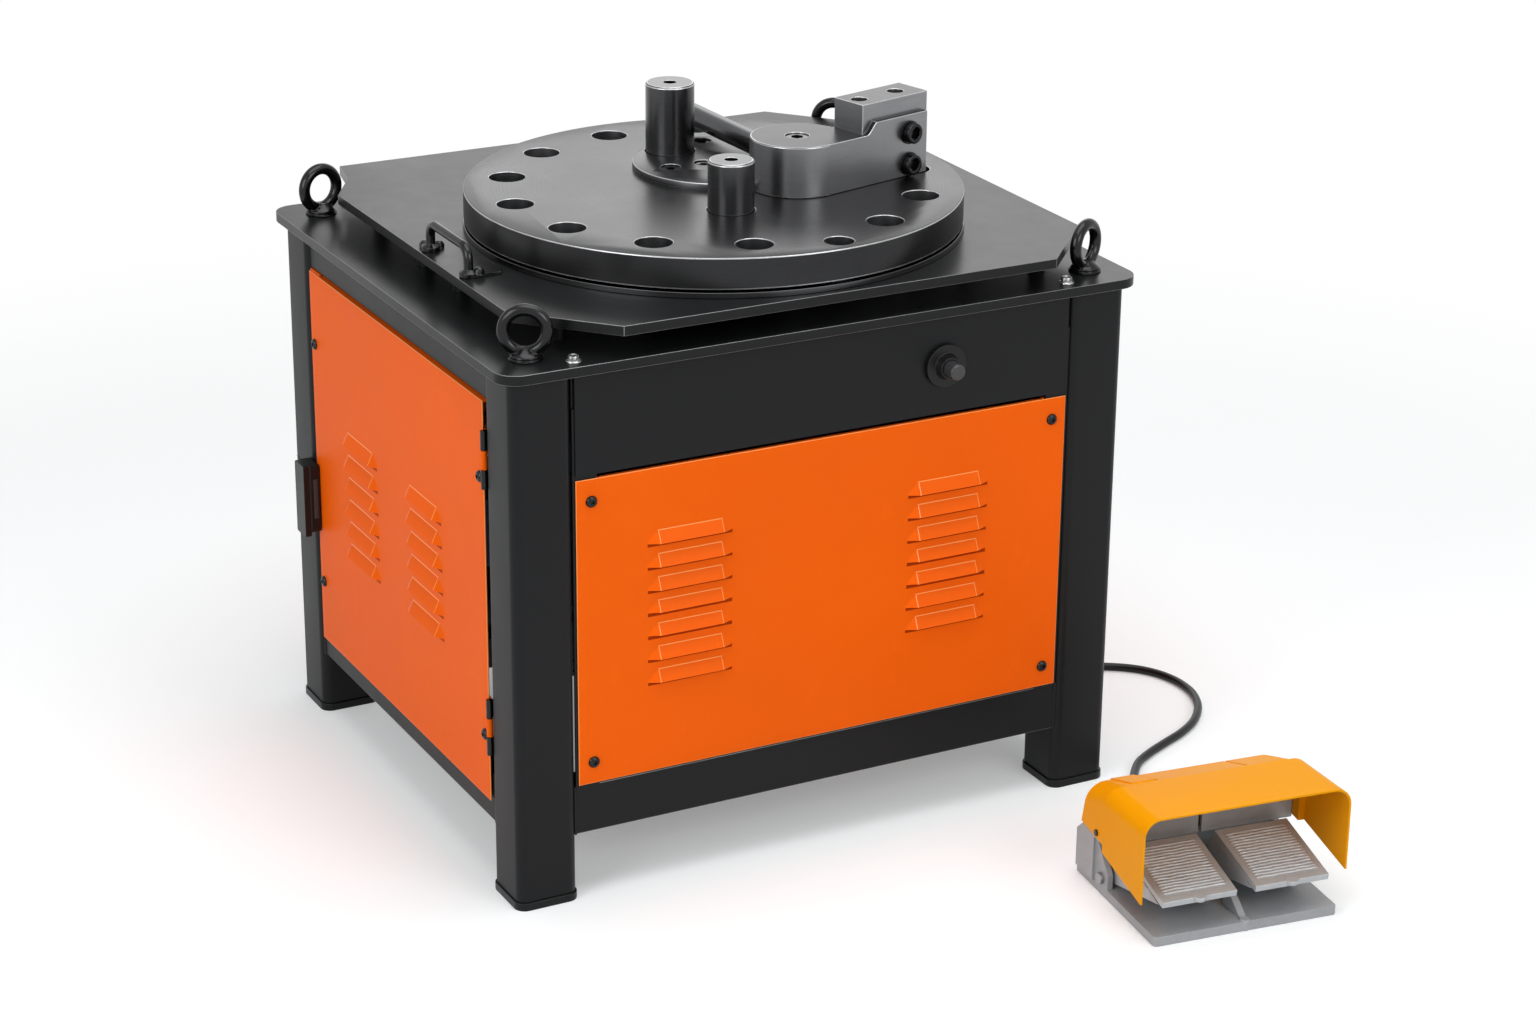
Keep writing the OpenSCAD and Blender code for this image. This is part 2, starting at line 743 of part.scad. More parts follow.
// Table and cover plates
module table_plate() color("#26272a") translate([0, 0, table_under]) difference() {
    linear_extrude(table_t) rounded(table_w, table_d, table_round);
    translate([0, spindle_y, -over]) cylinder(table_t + 2*over, r = housing_r + seat);
    four(eye_x, eye_y) translate([0, 0, -over]) cylinder(table_t + 2*over, r = eye_shank_r + seat);
    four(table_bolt_x, table_bolt_y) translate([0, 0, -over]) cylinder(table_t + 2*over, r = m10_r + seat);
    spacer_places() translate([0, 0, -over]) cylinder(table_t + 2*over, r = m10_r + seat);
}
module spacer_places() translate([cover_shift, 0, 0]) {
    four(cover_w/2 - corner_in, spacer_front) children();
    four(cover_w/2 - spacer_in, spacer_side) children();
}
module cover_outline() {
    x = cover_w/2;
    y = table_d/2;
    polygon([[-x, cover_cut_y - y], [cover_cut_x - x, -y], [x - cover_cut_x, -y], [x, cover_cut_y - y],
        [x, cover_back - cover_cut_y - cover_over], [x - cover_cut_x, cover_back],
        for (i = [2:-1:0]) [left_cuts[i][0] - x, cover_back - left_cuts[i][1]]]);
}
module cover_plate() color("#2a2b2e") translate([0, 0, cover_z]) difference() {
    translate([cover_shift, 0, 0]) linear_extrude(cover_t) cover_outline();
    translate([0, spindle_y, -over]) cylinder(cover_t + 2*over, r = flange_r + m10_r);
    spacer_places() translate([0, 0, -over]) cylinder(cover_t + over - stud_cap, r = m10_r + seat);
    for (y = [-1, 1]) translate([grip_x, grip_y + y*grip_l/2, -over])
        cylinder(cover_t + 2*over, r = m10_r/2 + seat);
}
module plate_spacers() color("#3a3b3e") translate([0, 0, table_height]) spacer_places() difference() {
    cylinder(spacer_h, r = spacer_r);
    translate([0, 0, -over]) cylinder(spacer_h + 2*over, r = m10_r + seat);
}
module dome_bolt(length) {
    rotate_extrude() polygon([[0, -length], [m10_r, -length], [m10_r, 0],
        for (s = dome_shares) [m10_head_r*s[0], m10_head_h*s[1]]]);
}
module plate_bolts() color("#4a4b4e") {
    translate([0, 0, table_height]) four(table_bolt_x, table_bolt_y) dome_bolt(table_t);
    translate([0, 0, table_under]) spacer_places()
        cylinder(cover_top - stud_cap - fit - table_under, r = m10_r);
}
module wear_ring() color("#303134") translate([0, spindle_y, cover_top]) difference() {
    cylinder(ring_h, r = disc_r + ring_lip);
    translate([0, 0, -over]) cylinder(ring_h + 2*over, r = disc_r - 2*rim_hole_r);
}
module eyebolts() color("#1c1c1e") {
    corners = [[-1, -1], [1, -1], [1, 1], [-1, 1]];
    for (i = [0:3]) translate([corners[i][0]*eye_x, corners[i][1]*eye_y, table_height])
        rotate([0, 0, eye_turns[i]]) {
            rotate_extrude() polygon([[0, -table_t], [eye_shank_r, -table_t], [eye_shank_r, 0],
                [eye_collar_r + eye_washer, 0], [eye_collar_r + eye_washer, eye_washer],
                    [eye_collar_r, eye_washer],
                [eye_collar_r, eye_collar_h*eye_shares[0]], [eye_collar_r*eye_shares[1], eye_collar_h],
                [eye_bar_r, eye_collar_h + eye_bar_r*eye_shares[2]],
                    [0, eye_collar_h + eye_bar_r*eye_shares[2]]]);
            translate([0, 0, eye_collar_h + eye_ring_r]) rotate([90, 0, 0])
                rotate_extrude() translate([eye_ring_r, 0]) circle(eye_bar_r);
        }
}
module grab_handle() color("#1c1c1e") translate([grip_x, grip_y, cover_top]) {
    bend = grip_foot_shares[2]*grip_r;
    foot = grip_foot_shares[0]*grip_r;
    half = grip_l/2;
    for (y = [-1, 1]) translate([0, y*half, 0]) {
        translate([0, 0, -cover_t]) cylinder(cover_t, r = m10_r/2);
        rotate_extrude() polygon([[0, 0], [foot, 0], [foot, grip_r], [grip_r, grip_foot_shares[1]*grip_r],
            [grip_r, grip_h - bend], [0, grip_h - bend]]);
        translate([0, -y*bend, grip_h - bend]) rotate([90, 0, y*90]) rotate_extrude(angle = 90)
            translate([bend, 0]) circle(grip_r);
    }
    translate([0, half - bend, grip_h]) rotate([90, 0, 0]) cylinder(grip_l - 2*bend, r = grip_r);
    translate([0, -half, 0]) linear_extrude(lug_t)
        polygon([[0, -foot], for (s = lug_shares) [lug_w*s[0], lug_d*s[1]], [0, foot]]);
}

// Sheet panels with pressed louvres. A louvre is drawn standing out along -Y, its open edge down.
module louvre_wedge(w, face, h, out, drop) polyhedron(
    [[-w/2, 0, -drop], [w/2, 0, -drop], [-face/2, -out, -drop], [face/2, -out, -drop],
        [-face/2, 0, h], [face/2, 0, h]],
    [[0, 2, 3, 1], [0, 1, 5, 4], [2, 4, 5, 3], [0, 4, 2], [1, 3, 5]]);
module louvre() louvre_wedge(louvre_w, louvre_face_w, louvre_h, louvre_out, 0);
module louvre_hollow() translate([0, sheet_t + over/2, 0])
    louvre_wedge(louvre_w - 3*louvre_wall, louvre_face_w - louvre_wall, louvre_h - louvre_wall,
        louvre_out + sheet_t + over/2 - louvre_wall, over/4);
module louvred_sheet(outline_low, outline_high, half, columns, rows, top, pitch) difference() {
    union() {
        translate([-half, 0, outline_low]) cube([2*half, sheet_t, outline_high - outline_low]);
        for (x = columns, i = [0:rows - 1]) translate([x, 0, top - i*pitch]) louvre();
    }
    for (x = columns, i = [0:rows - 1]) translate([x, 0, top - i*pitch]) louvre_hollow();
}
module screw_hole() rotate([90, 0, 0]) cylinder(6*strip_t, r = screw_r + seat, center = true);
module front_screw_places() {
    for (x = [-1, 1], z = [front_bottom + screw_up, front_top - screw_up])
        translate([x*(inner_x - screw_in), -panel_y, z]) children();
}
module back_screw_places() {
    for (x = [-1, 1], z = [front_bottom + screw_up, side_top - screw_up])
        translate([x*(inner_x - screw_in), panel_y, z]) rotate([0, 0, 180]) children();
}
module right_screw_places() {
    for (y = [-1, 1], z = door_screw_z) translate([panel_x, y*(inner_y - screw_in), z])
        rotate([0, 0, 90]) children();
}
module front_panel() color("#f26a1b") difference() {
    translate([0, -panel_y, 0]) louvred_sheet(front_bottom, front_top, front_half, front_louvres, front_rows,
        louvre_top, louvre_pitch);
    front_screw_places() screw_hole();
}
module back_panel() color("#f26a1b") difference() {
    rotate([0, 0, 180]) translate([0, -panel_y, 0]) louvred_sheet(front_bottom, side_top, front_half,
        front_louvres, front_rows, louvre_top, louvre_pitch);
    back_screw_places() screw_hole();
}
module right_panel() color("#f26a1b") difference() {
    rotate([0, 0, 90]) translate([0, -panel_x, 0]) louvred_sheet(door_bottom, side_top, side_half,
        door_louvres, door_rows, door_louvre_top, door_louvre_pitch);
    right_screw_places() screw_hole();
    for (z = [gland_z, mains_gland_z]) translate([panel_x + over, gland_y, z]) rotate([0, -90, 0])
        cylinder(sheet_t + 2*over, r = gland_r + seat);
}
module fascia() color("#1e1f21") difference() {
    translate([-front_half, -panel_y, fascia_bottom])
        cube([2*front_half, sheet_t, table_under - panel_set - fascia_bottom]);
    translate([button_x, -panel_y - over, button_z]) along_y()
        cylinder(sheet_t + 2*over, r = bezel_neck_r + seat);
}
module panel_strips() color("#202124") {
    strip_h = upper_rail_z - rail_top;
    difference() {
        for (x = [-1, 1], y = [-1, 1])
            translate([x*(inner_x - strip_w/2), y*(panel_y - sheet_t - strip_t/2), rail_top + strip_h/2])
                cube([strip_w, strip_t, strip_h], center = true);
        front_screw_places() screw_hole();
        back_screw_places() screw_hole();
    }
    difference() {
        for (y = [-1, 1])
            translate([panel_x - sheet_t - strip_t/2, y*(inner_y - strip_w/2), rail_top + strip_h/2])
                cube([strip_t, strip_w, strip_h], center = true);
        right_screw_places() screw_hole();
    }
}
module button_head_screw() rotate([90, 0, 0]) rotate_extrude() polygon([[0, -screw_l], [screw_r, -screw_l],
    [screw_r, 0], [screw_head_r, 0], for (s = screw_shares) [screw_head_r*s[0], screw_head_h*s[1]],
    [screw_r, screw_head_h], [socket_r, screw_head_h], [socket_r, screw_head_h - socket_deep],
    [0, screw_head_h - socket_deep]]);
module panel_screws() color("#18181a") {
    front_screw_places() button_head_screw();
    back_screw_places() button_head_screw();
    right_screw_places() button_head_screw();
}

// Hinged door on the left side
module door_sheet() rotate([0, 0, -90]) translate([0, -panel_x, 0])
    louvred_sheet(door_bottom, side_top, side_half, [for (y = door_louvres) -y], door_rows,
        door_louvre_top, door_louvre_pitch);
module side_door() color("#f26a1b") difference() {
    union() {
        difference() {
            door_sheet();
            translate([-frame_w/2 - 2*louvre_out, -inner_y - over, 0])
                cube([4*louvre_out, door_front + inner_y + over, table_height]);
        }
        translate([-panel_x + sheet_t, side_half - strip_w, front_bottom])
            cube([strip_t, strip_w, upper_rail_z - fit - front_bottom]);
        for (z = hinge_z) {
            translate([hinge_x, hinge_y, z + hinge_l/3 + fit]) cylinder(hinge_l/3 - 2*fit, r = hinge_r);
            translate([-panel_x + sheet_t, hinge_y + hinge_r, z]) cube([leaf_t, leaf_w, hinge_l]);
            translate([hinge_x, hinge_y + hinge_r/2, z + hinge_l/3 + fit])
                cube([panel_set + sheet_t + leaf_t, hinge_r, hinge_l/3 - 2*fit]);
        }
    }
    for (z = hinge_z) translate([hinge_x, hinge_y, z - over])
        cylinder(hinge_l + 2*over, r = hinge_pin_r + run);
    door_screw_places() screw_hole();
}
module door_screw_places() {
    for (y = [hinge_y + strip_w/2, side_half - strip_w/2 + panel_gap], z = door_screw_z)
        translate([-panel_x, y, z]) rotate([0, 0, -90]) children();
}
module door_screws() color("#18181a") door_screw_places() intersection() {
    button_head_screw();
    translate([0, sheet_t - fit, 0])
        cube([4*screw_r, 2*sheet_t + 2*screw_head_h, 4*screw_head_r], center = true);
}
module door_hinges() color("#18181a") for (z = hinge_z) {
    translate([hinge_x, hinge_y, z]) {
        cylinder(hinge_l, r = hinge_pin_r);
        for (up = [0, 2*hinge_l/3 + fit]) translate([0, 0, up]) {
            cylinder(hinge_l/3 - fit, r = hinge_r);
            translate([0, -inner_y - hinge_y, 0]) cube([leaf_w, leaf_t, hinge_l/3 - fit]);
        }
    }
}
module latch_slot(out, deep, high, at)
    translate([-frame_w/2 - fit - at - out, latch_y - over, latch_z - high/2])
    cube([out, deep + over, high]);
module door_latch() color("#141416") difference() {
    union() {
        translate([-frame_w/2 - fit, latch_y + latch_w/2, latch_z]) rotate([0, -90, 0])
            linear_extrude(latch_out*latch_base_share) rounded(latch_h - 2*latch_step, latch_w, latch_step);
        translate([-frame_w/2 - fit - latch_out, latch_y + latch_w/2, latch_z - latch_step])
            rotate([0, 90, 0])
            linear_extrude(latch_out*(1 - latch_base_share))
                rounded(latch_h, latch_w - latch_step, latch_step);
        translate([-frame_w/2 - fit, latch_y + latch_step, latch_z - latch_h/3])
            cube([panel_set + fit, side_half - latch_y - 2*latch_step, 2*latch_h/3]);
    }
    latch_slot(latch_slot_w, latch_slot_d, latch_slot_h, latch_step);
}
module latch_paddle() color("#5a5c62")
    translate([-frame_w/2 - latch_step - latch_slot_w, latch_y - paddle_out, latch_z + fit - latch_slot_h/2])
        cube([latch_slot_w - 2*fit, latch_slot_d + paddle_out - latch_travel - fit, latch_slot_h - 2*fit]);

// Push button in the fascia
module button_bezel() color("#151517") translate([button_x, -panel_y, button_z]) along_y() difference() {
    union() {
        translate([0, 0, -bezel_t]) cylinder(bezel_t, r = bezel_r);
        translate([0, 0, -bezel_t - collar_l])
            cylinder(collar_l, r1 = collar_r + collar_taper[0], r2 = collar_r + collar_taper[1]);
        cylinder(bezel_neck_l, r = bezel_neck_r);
    }
    translate([0, 0, -bezel_t - collar_l - over]) cylinder(bezel_neck_l + bezel_t + collar_l + 2*over,
        r = button_r + run);
}
module push_button() color("#3c3d42") translate([button_x, -panel_y - button_out, button_z]) along_y()
    rotate_extrude() polygon([[0, 0], [button_r - edge, 0], [button_r, edge],
        [button_r, button_out + button_in],
        [0, button_out + button_in]]);
module switch_block() color("#2b2f36")
    translate([button_x, -panel_y + bezel_neck_l + switch_l/2, button_z])
        cube([switch_w, switch_l, switch_w], center = true);
module button_spring() color("#9a9ca0")
    translate([button_x, -panel_y + button_in + button_coil_gap, button_z]) along_y()
        tube(coil(button_coil_r, bezel_neck_l - button_in - 2*button_coil_gap, button_turns, curl_rings),
            button_wire_r, wire_sides);

// Spindle, its housing and bearings
module spindle_housing() color("#3b4a52") translate([0, spindle_y, 0]) rotate_extrude() polygon([
    [bearing_r + seat, housing_bottom], [housing_r, housing_bottom],
        [housing_r, table_under - housing_flange_t],
    [housing_flange_r, table_under - housing_flange_t], [housing_flange_r, table_under],
    [housing_r, table_under], [housing_r, housing_top], [bearing_r + seat, housing_top],
    [bearing_r + seat, bearing_top_z], [bearing_r - bearing_step, bearing_top_z],
    [bearing_r - bearing_step, bearing_low_z + bearing_t], [bearing_r + seat, bearing_low_z + bearing_t]]);
module spindle_bearings() color("#a9abb0") translate([0, spindle_y, 0])
    for (z = [bearing_top_z, bearing_low_z]) translate([0, 0, z]) rotate_extrude() polygon([
        [spindle_r + run, 0], [bearing_r, 0], [bearing_r, bearing_t], [bearing_r - bearing_race, bearing_t],
        [bearing_r - bearing_step, bearing_t - bearing_groove],
            [spindle_r + bearing_step, bearing_t - bearing_groove],
        [spindle_r + bearing_race, bearing_t], [spindle_r + run, bearing_t]]);
module spindle() color("#6b6d72") translate([0, spindle_y, 0]) rotate_extrude() polygon([
    [0, spindle_low], [spindle_tail_r - bearing_step, spindle_low],
        [spindle_tail_r - bearing_step, main_gear_z],
    [spindle_tail_r, main_gear_z], [spindle_tail_r, main_gear_z + gear_hub_h],
    [spindle_r, main_gear_z + gear_hub_h],
    [spindle_r, housing_top + bearing_sink], [flange_r - flange_slope, disc_z - flange_t],
    [flange_r, disc_z - flange_t],
    [flange_r, disc_z], [0, disc_z]]);

// Involute spur gears, a tooth on +X
function involute(a) = tan(a)*180/PI - a;
function tooth_half(m, n, r) =
    let (base = m*n/2*cos(pressure_angle), a = r > base ? acos(base/r) : 0)
    90/n - backlash/(m*n/2)*90/PI + involute(pressure_angle) - involute(a);
function gear_points(m, n) =
    let (rp = m*n/2, root = rp - root_share*m, low = max(root, rp*cos(pressure_angle)), top = rp + m)
    [for (i = [0:n - 1]) let (c = 360*i/n)
        each concat(
            [let (a = c - tooth_half(m, n, low)) [root*cos(a), root*sin(a)]],
            [for (k = [0:flank_steps]) let (r = low + (top - low)*k/flank_steps, a = c - tooth_half(m, n, r))
                [r*cos(a), r*sin(a)]],
            [for (k = [0:flank_steps]) let (r = top - (top - low)*k/flank_steps, a = c + tooth_half(m, n, r))
                [r*cos(a), r*sin(a)]],
            [let (a = c + tooth_half(m, n, low)) [root*cos(a), root*sin(a)]])];
module main_gear() color("#7c7e84") translate([0, spindle_y, main_gear_z]) difference() {
    union() {
        rotate([0, 0, pinion_dir]) linear_extrude(gear_w) polygon(gear_points(gear_module, main_teeth));
        cylinder(gear_hub_h, r = spindle_tail_r + gear_hub_wall);
    }
    translate([0, 0, -over]) cylinder(gear_hub_h + 2*over, r = spindle_tail_r + seat);
    for (i = [0:gear_hole_count - 1]) rotate([0, 0, 360*i/gear_hole_count + pinion_dir])
        translate([main_r*gear_hole_shares[0], 0, -over])
            cylinder(gear_w + 2*over, r = main_r*gear_hole_shares[1]);
}
module gearbox_pinion() color("#8a8c92") translate([gear_x, gear_y, 0]) {
    translate([0, 0, main_gear_z - pinion_over]) rotate([0, 0, pinion_dir + 180 + 180/pinion_teeth])
        linear_extrude(gear_w + 2*pinion_over) polygon(gear_points(gear_module, pinion_teeth));
    translate([0, 0, gearbox_top - pinion_shaft_in])
        cylinder(gearbox_gap - pinion_over + pinion_shaft_in, r = pinion_shaft_r);
}

// Gearbox, motor and belts on the drive bed
module square_of(w) { rounded(w, w, gearbox_round); }
module gearbox() color("#3b4a52") translate([gear_x, gear_y, 0]) difference() {
    union() {
        translate([0, 0, bed_top]) linear_extrude(gearbox_foot_t) square_of(gearbox_w + 2*gearbox_foot_out);
        translate([0, 0, bed_top]) linear_extrude(gearbox_top - bed_top - gearbox_cover_t)
            square_of(gearbox_w);
        translate([0, 0, (bed_top + gearbox_top)/2]) linear_extrude(gearbox_cover_t)
            square_of(gearbox_w + 2*gearbox_rib_out);
        cylinder(gearbox_top, r = 2*pinion_shaft_r);
    }
    translate([0, 0, -over]) cylinder(bed_top + over + fit, r = gearbox_w/2);
    translate([0, 0, gearbox_top - pinion_shaft_in - fit])
        cylinder(pinion_shaft_in + over, r = pinion_shaft_r + run);
    translate([0, 0, bed_top - over]) cylinder(shaft_bore + over, r = motor_shaft_r + run);
}
function fin_outline(r, n, h) = [for (i = [0:n - 1], k = [0:3])
    let (a = 360*(i + fin_shares[k])/n, q = k < 2 ? r : r - h) [q*cos(a), q*sin(a)]];
module motor() color("#2f5d8a") translate([motor_x, motor_y, bed_top]) difference() {
    union() {
        cylinder(motor_foot_t, r = motor_r + motor_foot_out);
        linear_extrude(motor_h) polygon(fin_outline(motor_r, motor_fins, fin_h));
        translate([0, 0, motor_h]) rotate_extrude() polygon([[0, 0], [motor_r + cowl_out, 0],
            [motor_r + cowl_out, cowl_h - cowl_round], [motor_r - cowl_round, cowl_h], [0, cowl_h]]);
        translate([-motor_r - terminal_out, 0, motor_h*terminal_shares[0]])
            cube([terminal_d, terminal_w, motor_h*terminal_shares[1]], center = true);
    }
    translate([0, 0, -over]) cylinder(shaft_bore + over, r = motor_shaft_r + run);
}
module pulley(r) {
    rim = r + belt_h/2;
    rotate_extrude() polygon([[0, -pulley_w/2], [rim, -pulley_w/2],
        for (i = [0:belt_count - 1]) let (z = (i - belt_count/2)*groove_w)
            each [[rim, z + groove_land], [rim - groove_d, z + 2*groove_land],
                [rim - groove_d, z + groove_w - 2*groove_land], [rim, z + groove_w - groove_land]],
        [rim, pulley_w/2], [0, pulley_w/2]]);
    cylinder(bed_top + shaft_in - belt_z, r = motor_shaft_r);
}
module driven_pulley() color("#54565b") translate([gear_x, gear_y, belt_z]) pulley(big_pulley_r);
module motor_pulley() color("#54565b") translate([motor_x, motor_y, belt_z]) pulley(small_pulley_r);
// A belt's outline: one arc round each pulley, joined by the two straight runs
function arc(x, r, from, to) = [for (i = [0:belt_steps]) let (a = from + (to - from)*i/belt_steps)
    [x + r*cos(a), r*sin(a)]];
function belt_points(grow) =
    let (lean = asin((big_pulley_r - small_pulley_r)/belt_centres))
    concat(arc(belt_centres, big_pulley_r + grow, -90 - lean, 90 + lean),
        arc(0, small_pulley_r + grow, 90 + lean, 270 - lean));
module v_belts() color("#1a1a1c") translate([motor_x, motor_y, belt_z]) for (i = [0:belt_count - 1])
    translate([0, 0, (i - (belt_count - 1)/2)*groove_w - belt_w/2]) linear_extrude(belt_w) difference() {
        polygon(belt_points(belt_h/2));
        polygon(belt_points(-belt_h/2));
    }
module drive_bed() color("#202124") difference() {
    union() {
        for (y = [-1, 1]) translate([0, gear_y + y*gearbox_w/3, rail_top + beam_h/2])
            cube([frame_w - 2*rail_set - 2*rail_wall, rail_d, beam_h], center = true);
        translate([motor_x - motor_r - bed_margin, gear_y - gearbox_w/2 - bed_margin, bed_z])
            cube([belt_centres + motor_r + gearbox_w/2 + 2*bed_margin, gearbox_w + 2*bed_margin, bed_t]);
    }
    for (x = [motor_x, gear_x]) translate([x, gear_y, rail_top - over])
        cylinder(beam_h + bed_t + 2*over, r = motor_shaft_r + bed_hole_gap);
}
module control_box() color("#7d8288")
    translate([panel_x - sheet_t, (door_louvres[0] + door_louvres[1])/2, box_z]) rotate([0, -90, 0])
        linear_extrude(box_d) rounded(box_h, box_w, box_round);

// Cable glands: the foot switch's and the mains inlet's on the right panel, and the one on the foot switch
module gland(length) rotate_extrude() polygon([[0, -gland_in], [gland_r, -gland_in], [gland_r, 0],
    [gland_hex_r + gland_step, 0], [gland_hex_r + gland_step, length*gland_shares[0]],
    [gland_hex_r, length*gland_shares[1]], [gland_hex_r, length*gland_shares[2]],
    [gland_hex_r - 2*gland_step, length*gland_shares[3]], [cable_d/2 + gland_step, length], [0, length]]);
module pedal_gland_place() pedal_place() translate([0, case_back, pedal_gland_z]) rotate([-90, 0, 0])
    children();
module cable_glands() color("#151517") {
    for (z = [gland_z, mains_gland_z]) translate([panel_x, gland_y, z]) rotate([0, 90, 0]) gland(gland_l);
    pedal_gland_place() gland(gland_l);
}
module foot_cable() color("#1b1b1d")
    tube([for (p = smooth(cable_route, 2)) [cable_start[0] + p[0], cable_start[1] + p[1],
        max(cable_start[2] + p[2], cable_z)]], cable_d/2, cable_sides);

// Foot switch
module pedal_profile(points, width) along_x() translate([0, 0, -width/2]) linear_extrude(width)
    polygon(points);
module pedal_base() color("#a4a6aa") pedal_place() difference() {
    union() {
        translate([0, pedal_base_d/2, 0]) linear_extrude(pedal_base_t)
            rounded(pedal_base_w, pedal_base_d, base_round);
        rear_hood(hood_t + fit, [[case_y, case_step_z], [case_low_y, case_step_z],
            [case_low_y, pedal_base_t - over],
            [case_back, pedal_base_t - over], [case_back, case_shoulder_z],
                [hood_low_y - hood_t - fit, hood_low_z],
            [hood_rear_y - hood_t - fit, hood_rear_top], [case_y, hood_rear_top]]);
        for (x = [-1, 1]) translate([x*(pedal_base_w - cheek_plate_t)/2, 0, 0])
            pedal_profile([[shaft_y - cheek_fore, pedal_base_t - over], [case_back, pedal_base_t - over],
                [case_back, case_shoulder_z], [case_low_y, case_step_z + over],
                [shaft_y - cheek_fore, shaft_z + pedal_hub_r]], cheek_plate_t);
        pedal_profile([[fin_y[0], pedal_base_t - over], [fin_y[2], pedal_base_t - over], [fin_y[2], fin_z],
            [fin_y[1], fin_z]], fin_t);
        translate([0, fin_y[0], 0]) cylinder(pedal_base_t + fin_boss_h, r = fin_boss_r);
    }
    translate([-case_w/2 + case_wall, case_y + case_wall, case_step_z + case_wall])
        cube([case_w - 2*case_wall, hood_rear_y - case_y - 2*case_wall, hood_rear_top]);
    translate([0, 0, shaft_z]) translate([-pedal_base_w, shaft_y, 0]) rotate([0, 90, 0])
        cylinder(2*pedal_base_w, r = pedal_shaft_r + seat);
    translate([-seam_w/2, case_y - over, case_step_z - over])
        cube([seam_w, case_wall + 2*over, hood_rear_top]);
    translate([0, case_back + over, pedal_gland_z]) rotate([90, 0, 0])
        cylinder(gland_in + 2*over, r = gland_r + seat);
}
// The hood is a bent sheet: a section with round upper corners, carried back and down, cut by a side profile
module hood_section(width, wall) {
    half = width/2 - hood_round;
    translate([-width/2 + wall, -hood_top]) square([width - 2*wall, hood_top - hood_round]);
    translate([-half, -hood_top]) square([2*half, hood_top - wall]);
    for (x = [-half, half]) translate([x, -hood_round]) circle(hood_round - wall);
}
module hood_shape(width, wall, y, z, lean, points) intersection() {
    translate([0, y, z]) rotate([90 - lean, 0, 0]) linear_extrude(2*pedal_base_d, center = true)
        hood_section(width, wall);
    pedal_profile(points, 2*width);
}
module front_hood(wall, from, to, low) hood_shape(hood_w, wall, hood_front, hood_top, hood_lean,
    [[from, low[0]], [to, low[1]], [to, 2*hood_top], [from, 2*hood_top]]);
module rear_hood(wall, points) hood_shape(hood_rear_w, wall, hood_fold, hood_fold_z, hood_rear_lean, points);
module rear_strip(x, w, t) translate([x, hood_fold, hood_fold_z]) rotate([-hood_rear_lean, 0, 0])
    translate([0, strip_in, 0]) cube([w, (hood_rear_y - hood_fold)/cos(hood_rear_lean) - strip_in + over,
        t]);
module pedal_hood() color("#ffa81a") pedal_place() {
    back = [hood_rear_y, 2*hood_top];
    difference() {
        front_hood(0, hood_front, hood_fold, [hood_tip_z, hood_side_z]);
        front_hood(hood_t, hood_front - over, hood_fold - hood_t, [0, 0]);
        rear_hood(hood_t, [[hood_fold - 2*hood_t, 0], [hood_fold + over, 0], [hood_fold + over, 2*hood_top],
            [hood_fold - 2*hood_t, 2*hood_top]]);
    }
    difference() {
        union() {
            rear_hood(0, [[hood_fold, hood_side_z], [hood_low_y, hood_low_z], [hood_rear_y, hood_rear_top],
                back,
                [hood_fold, 2*hood_top]]);
            intersection() {
                translate([0, 0, -over]) rear_strip(hood_pad_x[0], hood_pad_x[1] - hood_pad_x[0],
                    hood_pad_t + over);
                pedal_profile([[hood_fold, 0], [hood_rear_y, 0], back, [hood_fold, 2*hood_top]], hood_w);
            }
        }
        rear_hood(hood_t, [[hood_fold - over, 0], [hood_low_y - hood_t, 0],
            [hood_low_y - hood_t, hood_low_z],
            [hood_rear_y - hood_t, hood_rear_top], [hood_rear_y - hood_t, 2*hood_top],
                [hood_fold - over, 2*hood_top]]);
        for (x = hood_seam_x) translate([0, 0, -hood_t/2]) rear_strip(x, hood_seam_w, 2*hood_t);
        hood_screw_places() translate([0, 0, -over]) cylinder(4*hood_t, r = hood_screw_r + seat);
    }
}
module hood_screw_places() for (x = [-1, 1]) translate([x*hood_rear_w/2, hood_screw_y, hood_screw_z])
    rotate([0, -x*90, 0]) children();
module hood_screws() color("#2a2a2c") pedal_place() hood_screw_places() {
    translate([0, 0, -screw_cap]) cylinder(screw_cap, r = 2*hood_screw_r);
    cylinder(hood_t + fit, r = hood_screw_r);
}
module pedal_shaft() color("#77797e") pedal_place()
    translate([-pedal_base_w/2 - shaft_out, shaft_y, shaft_z])
    rotate([0, 90, 0]) {
        cylinder(pedal_base_w + 2*shaft_out, r = pedal_shaft_r);
        for (z = [shaft_out - shaft_head_t, pedal_base_w + shaft_out]) translate([0, 0, z])
            cylinder(shaft_head_t, r = pedal_shaft_r + shaft_head_out);
    }
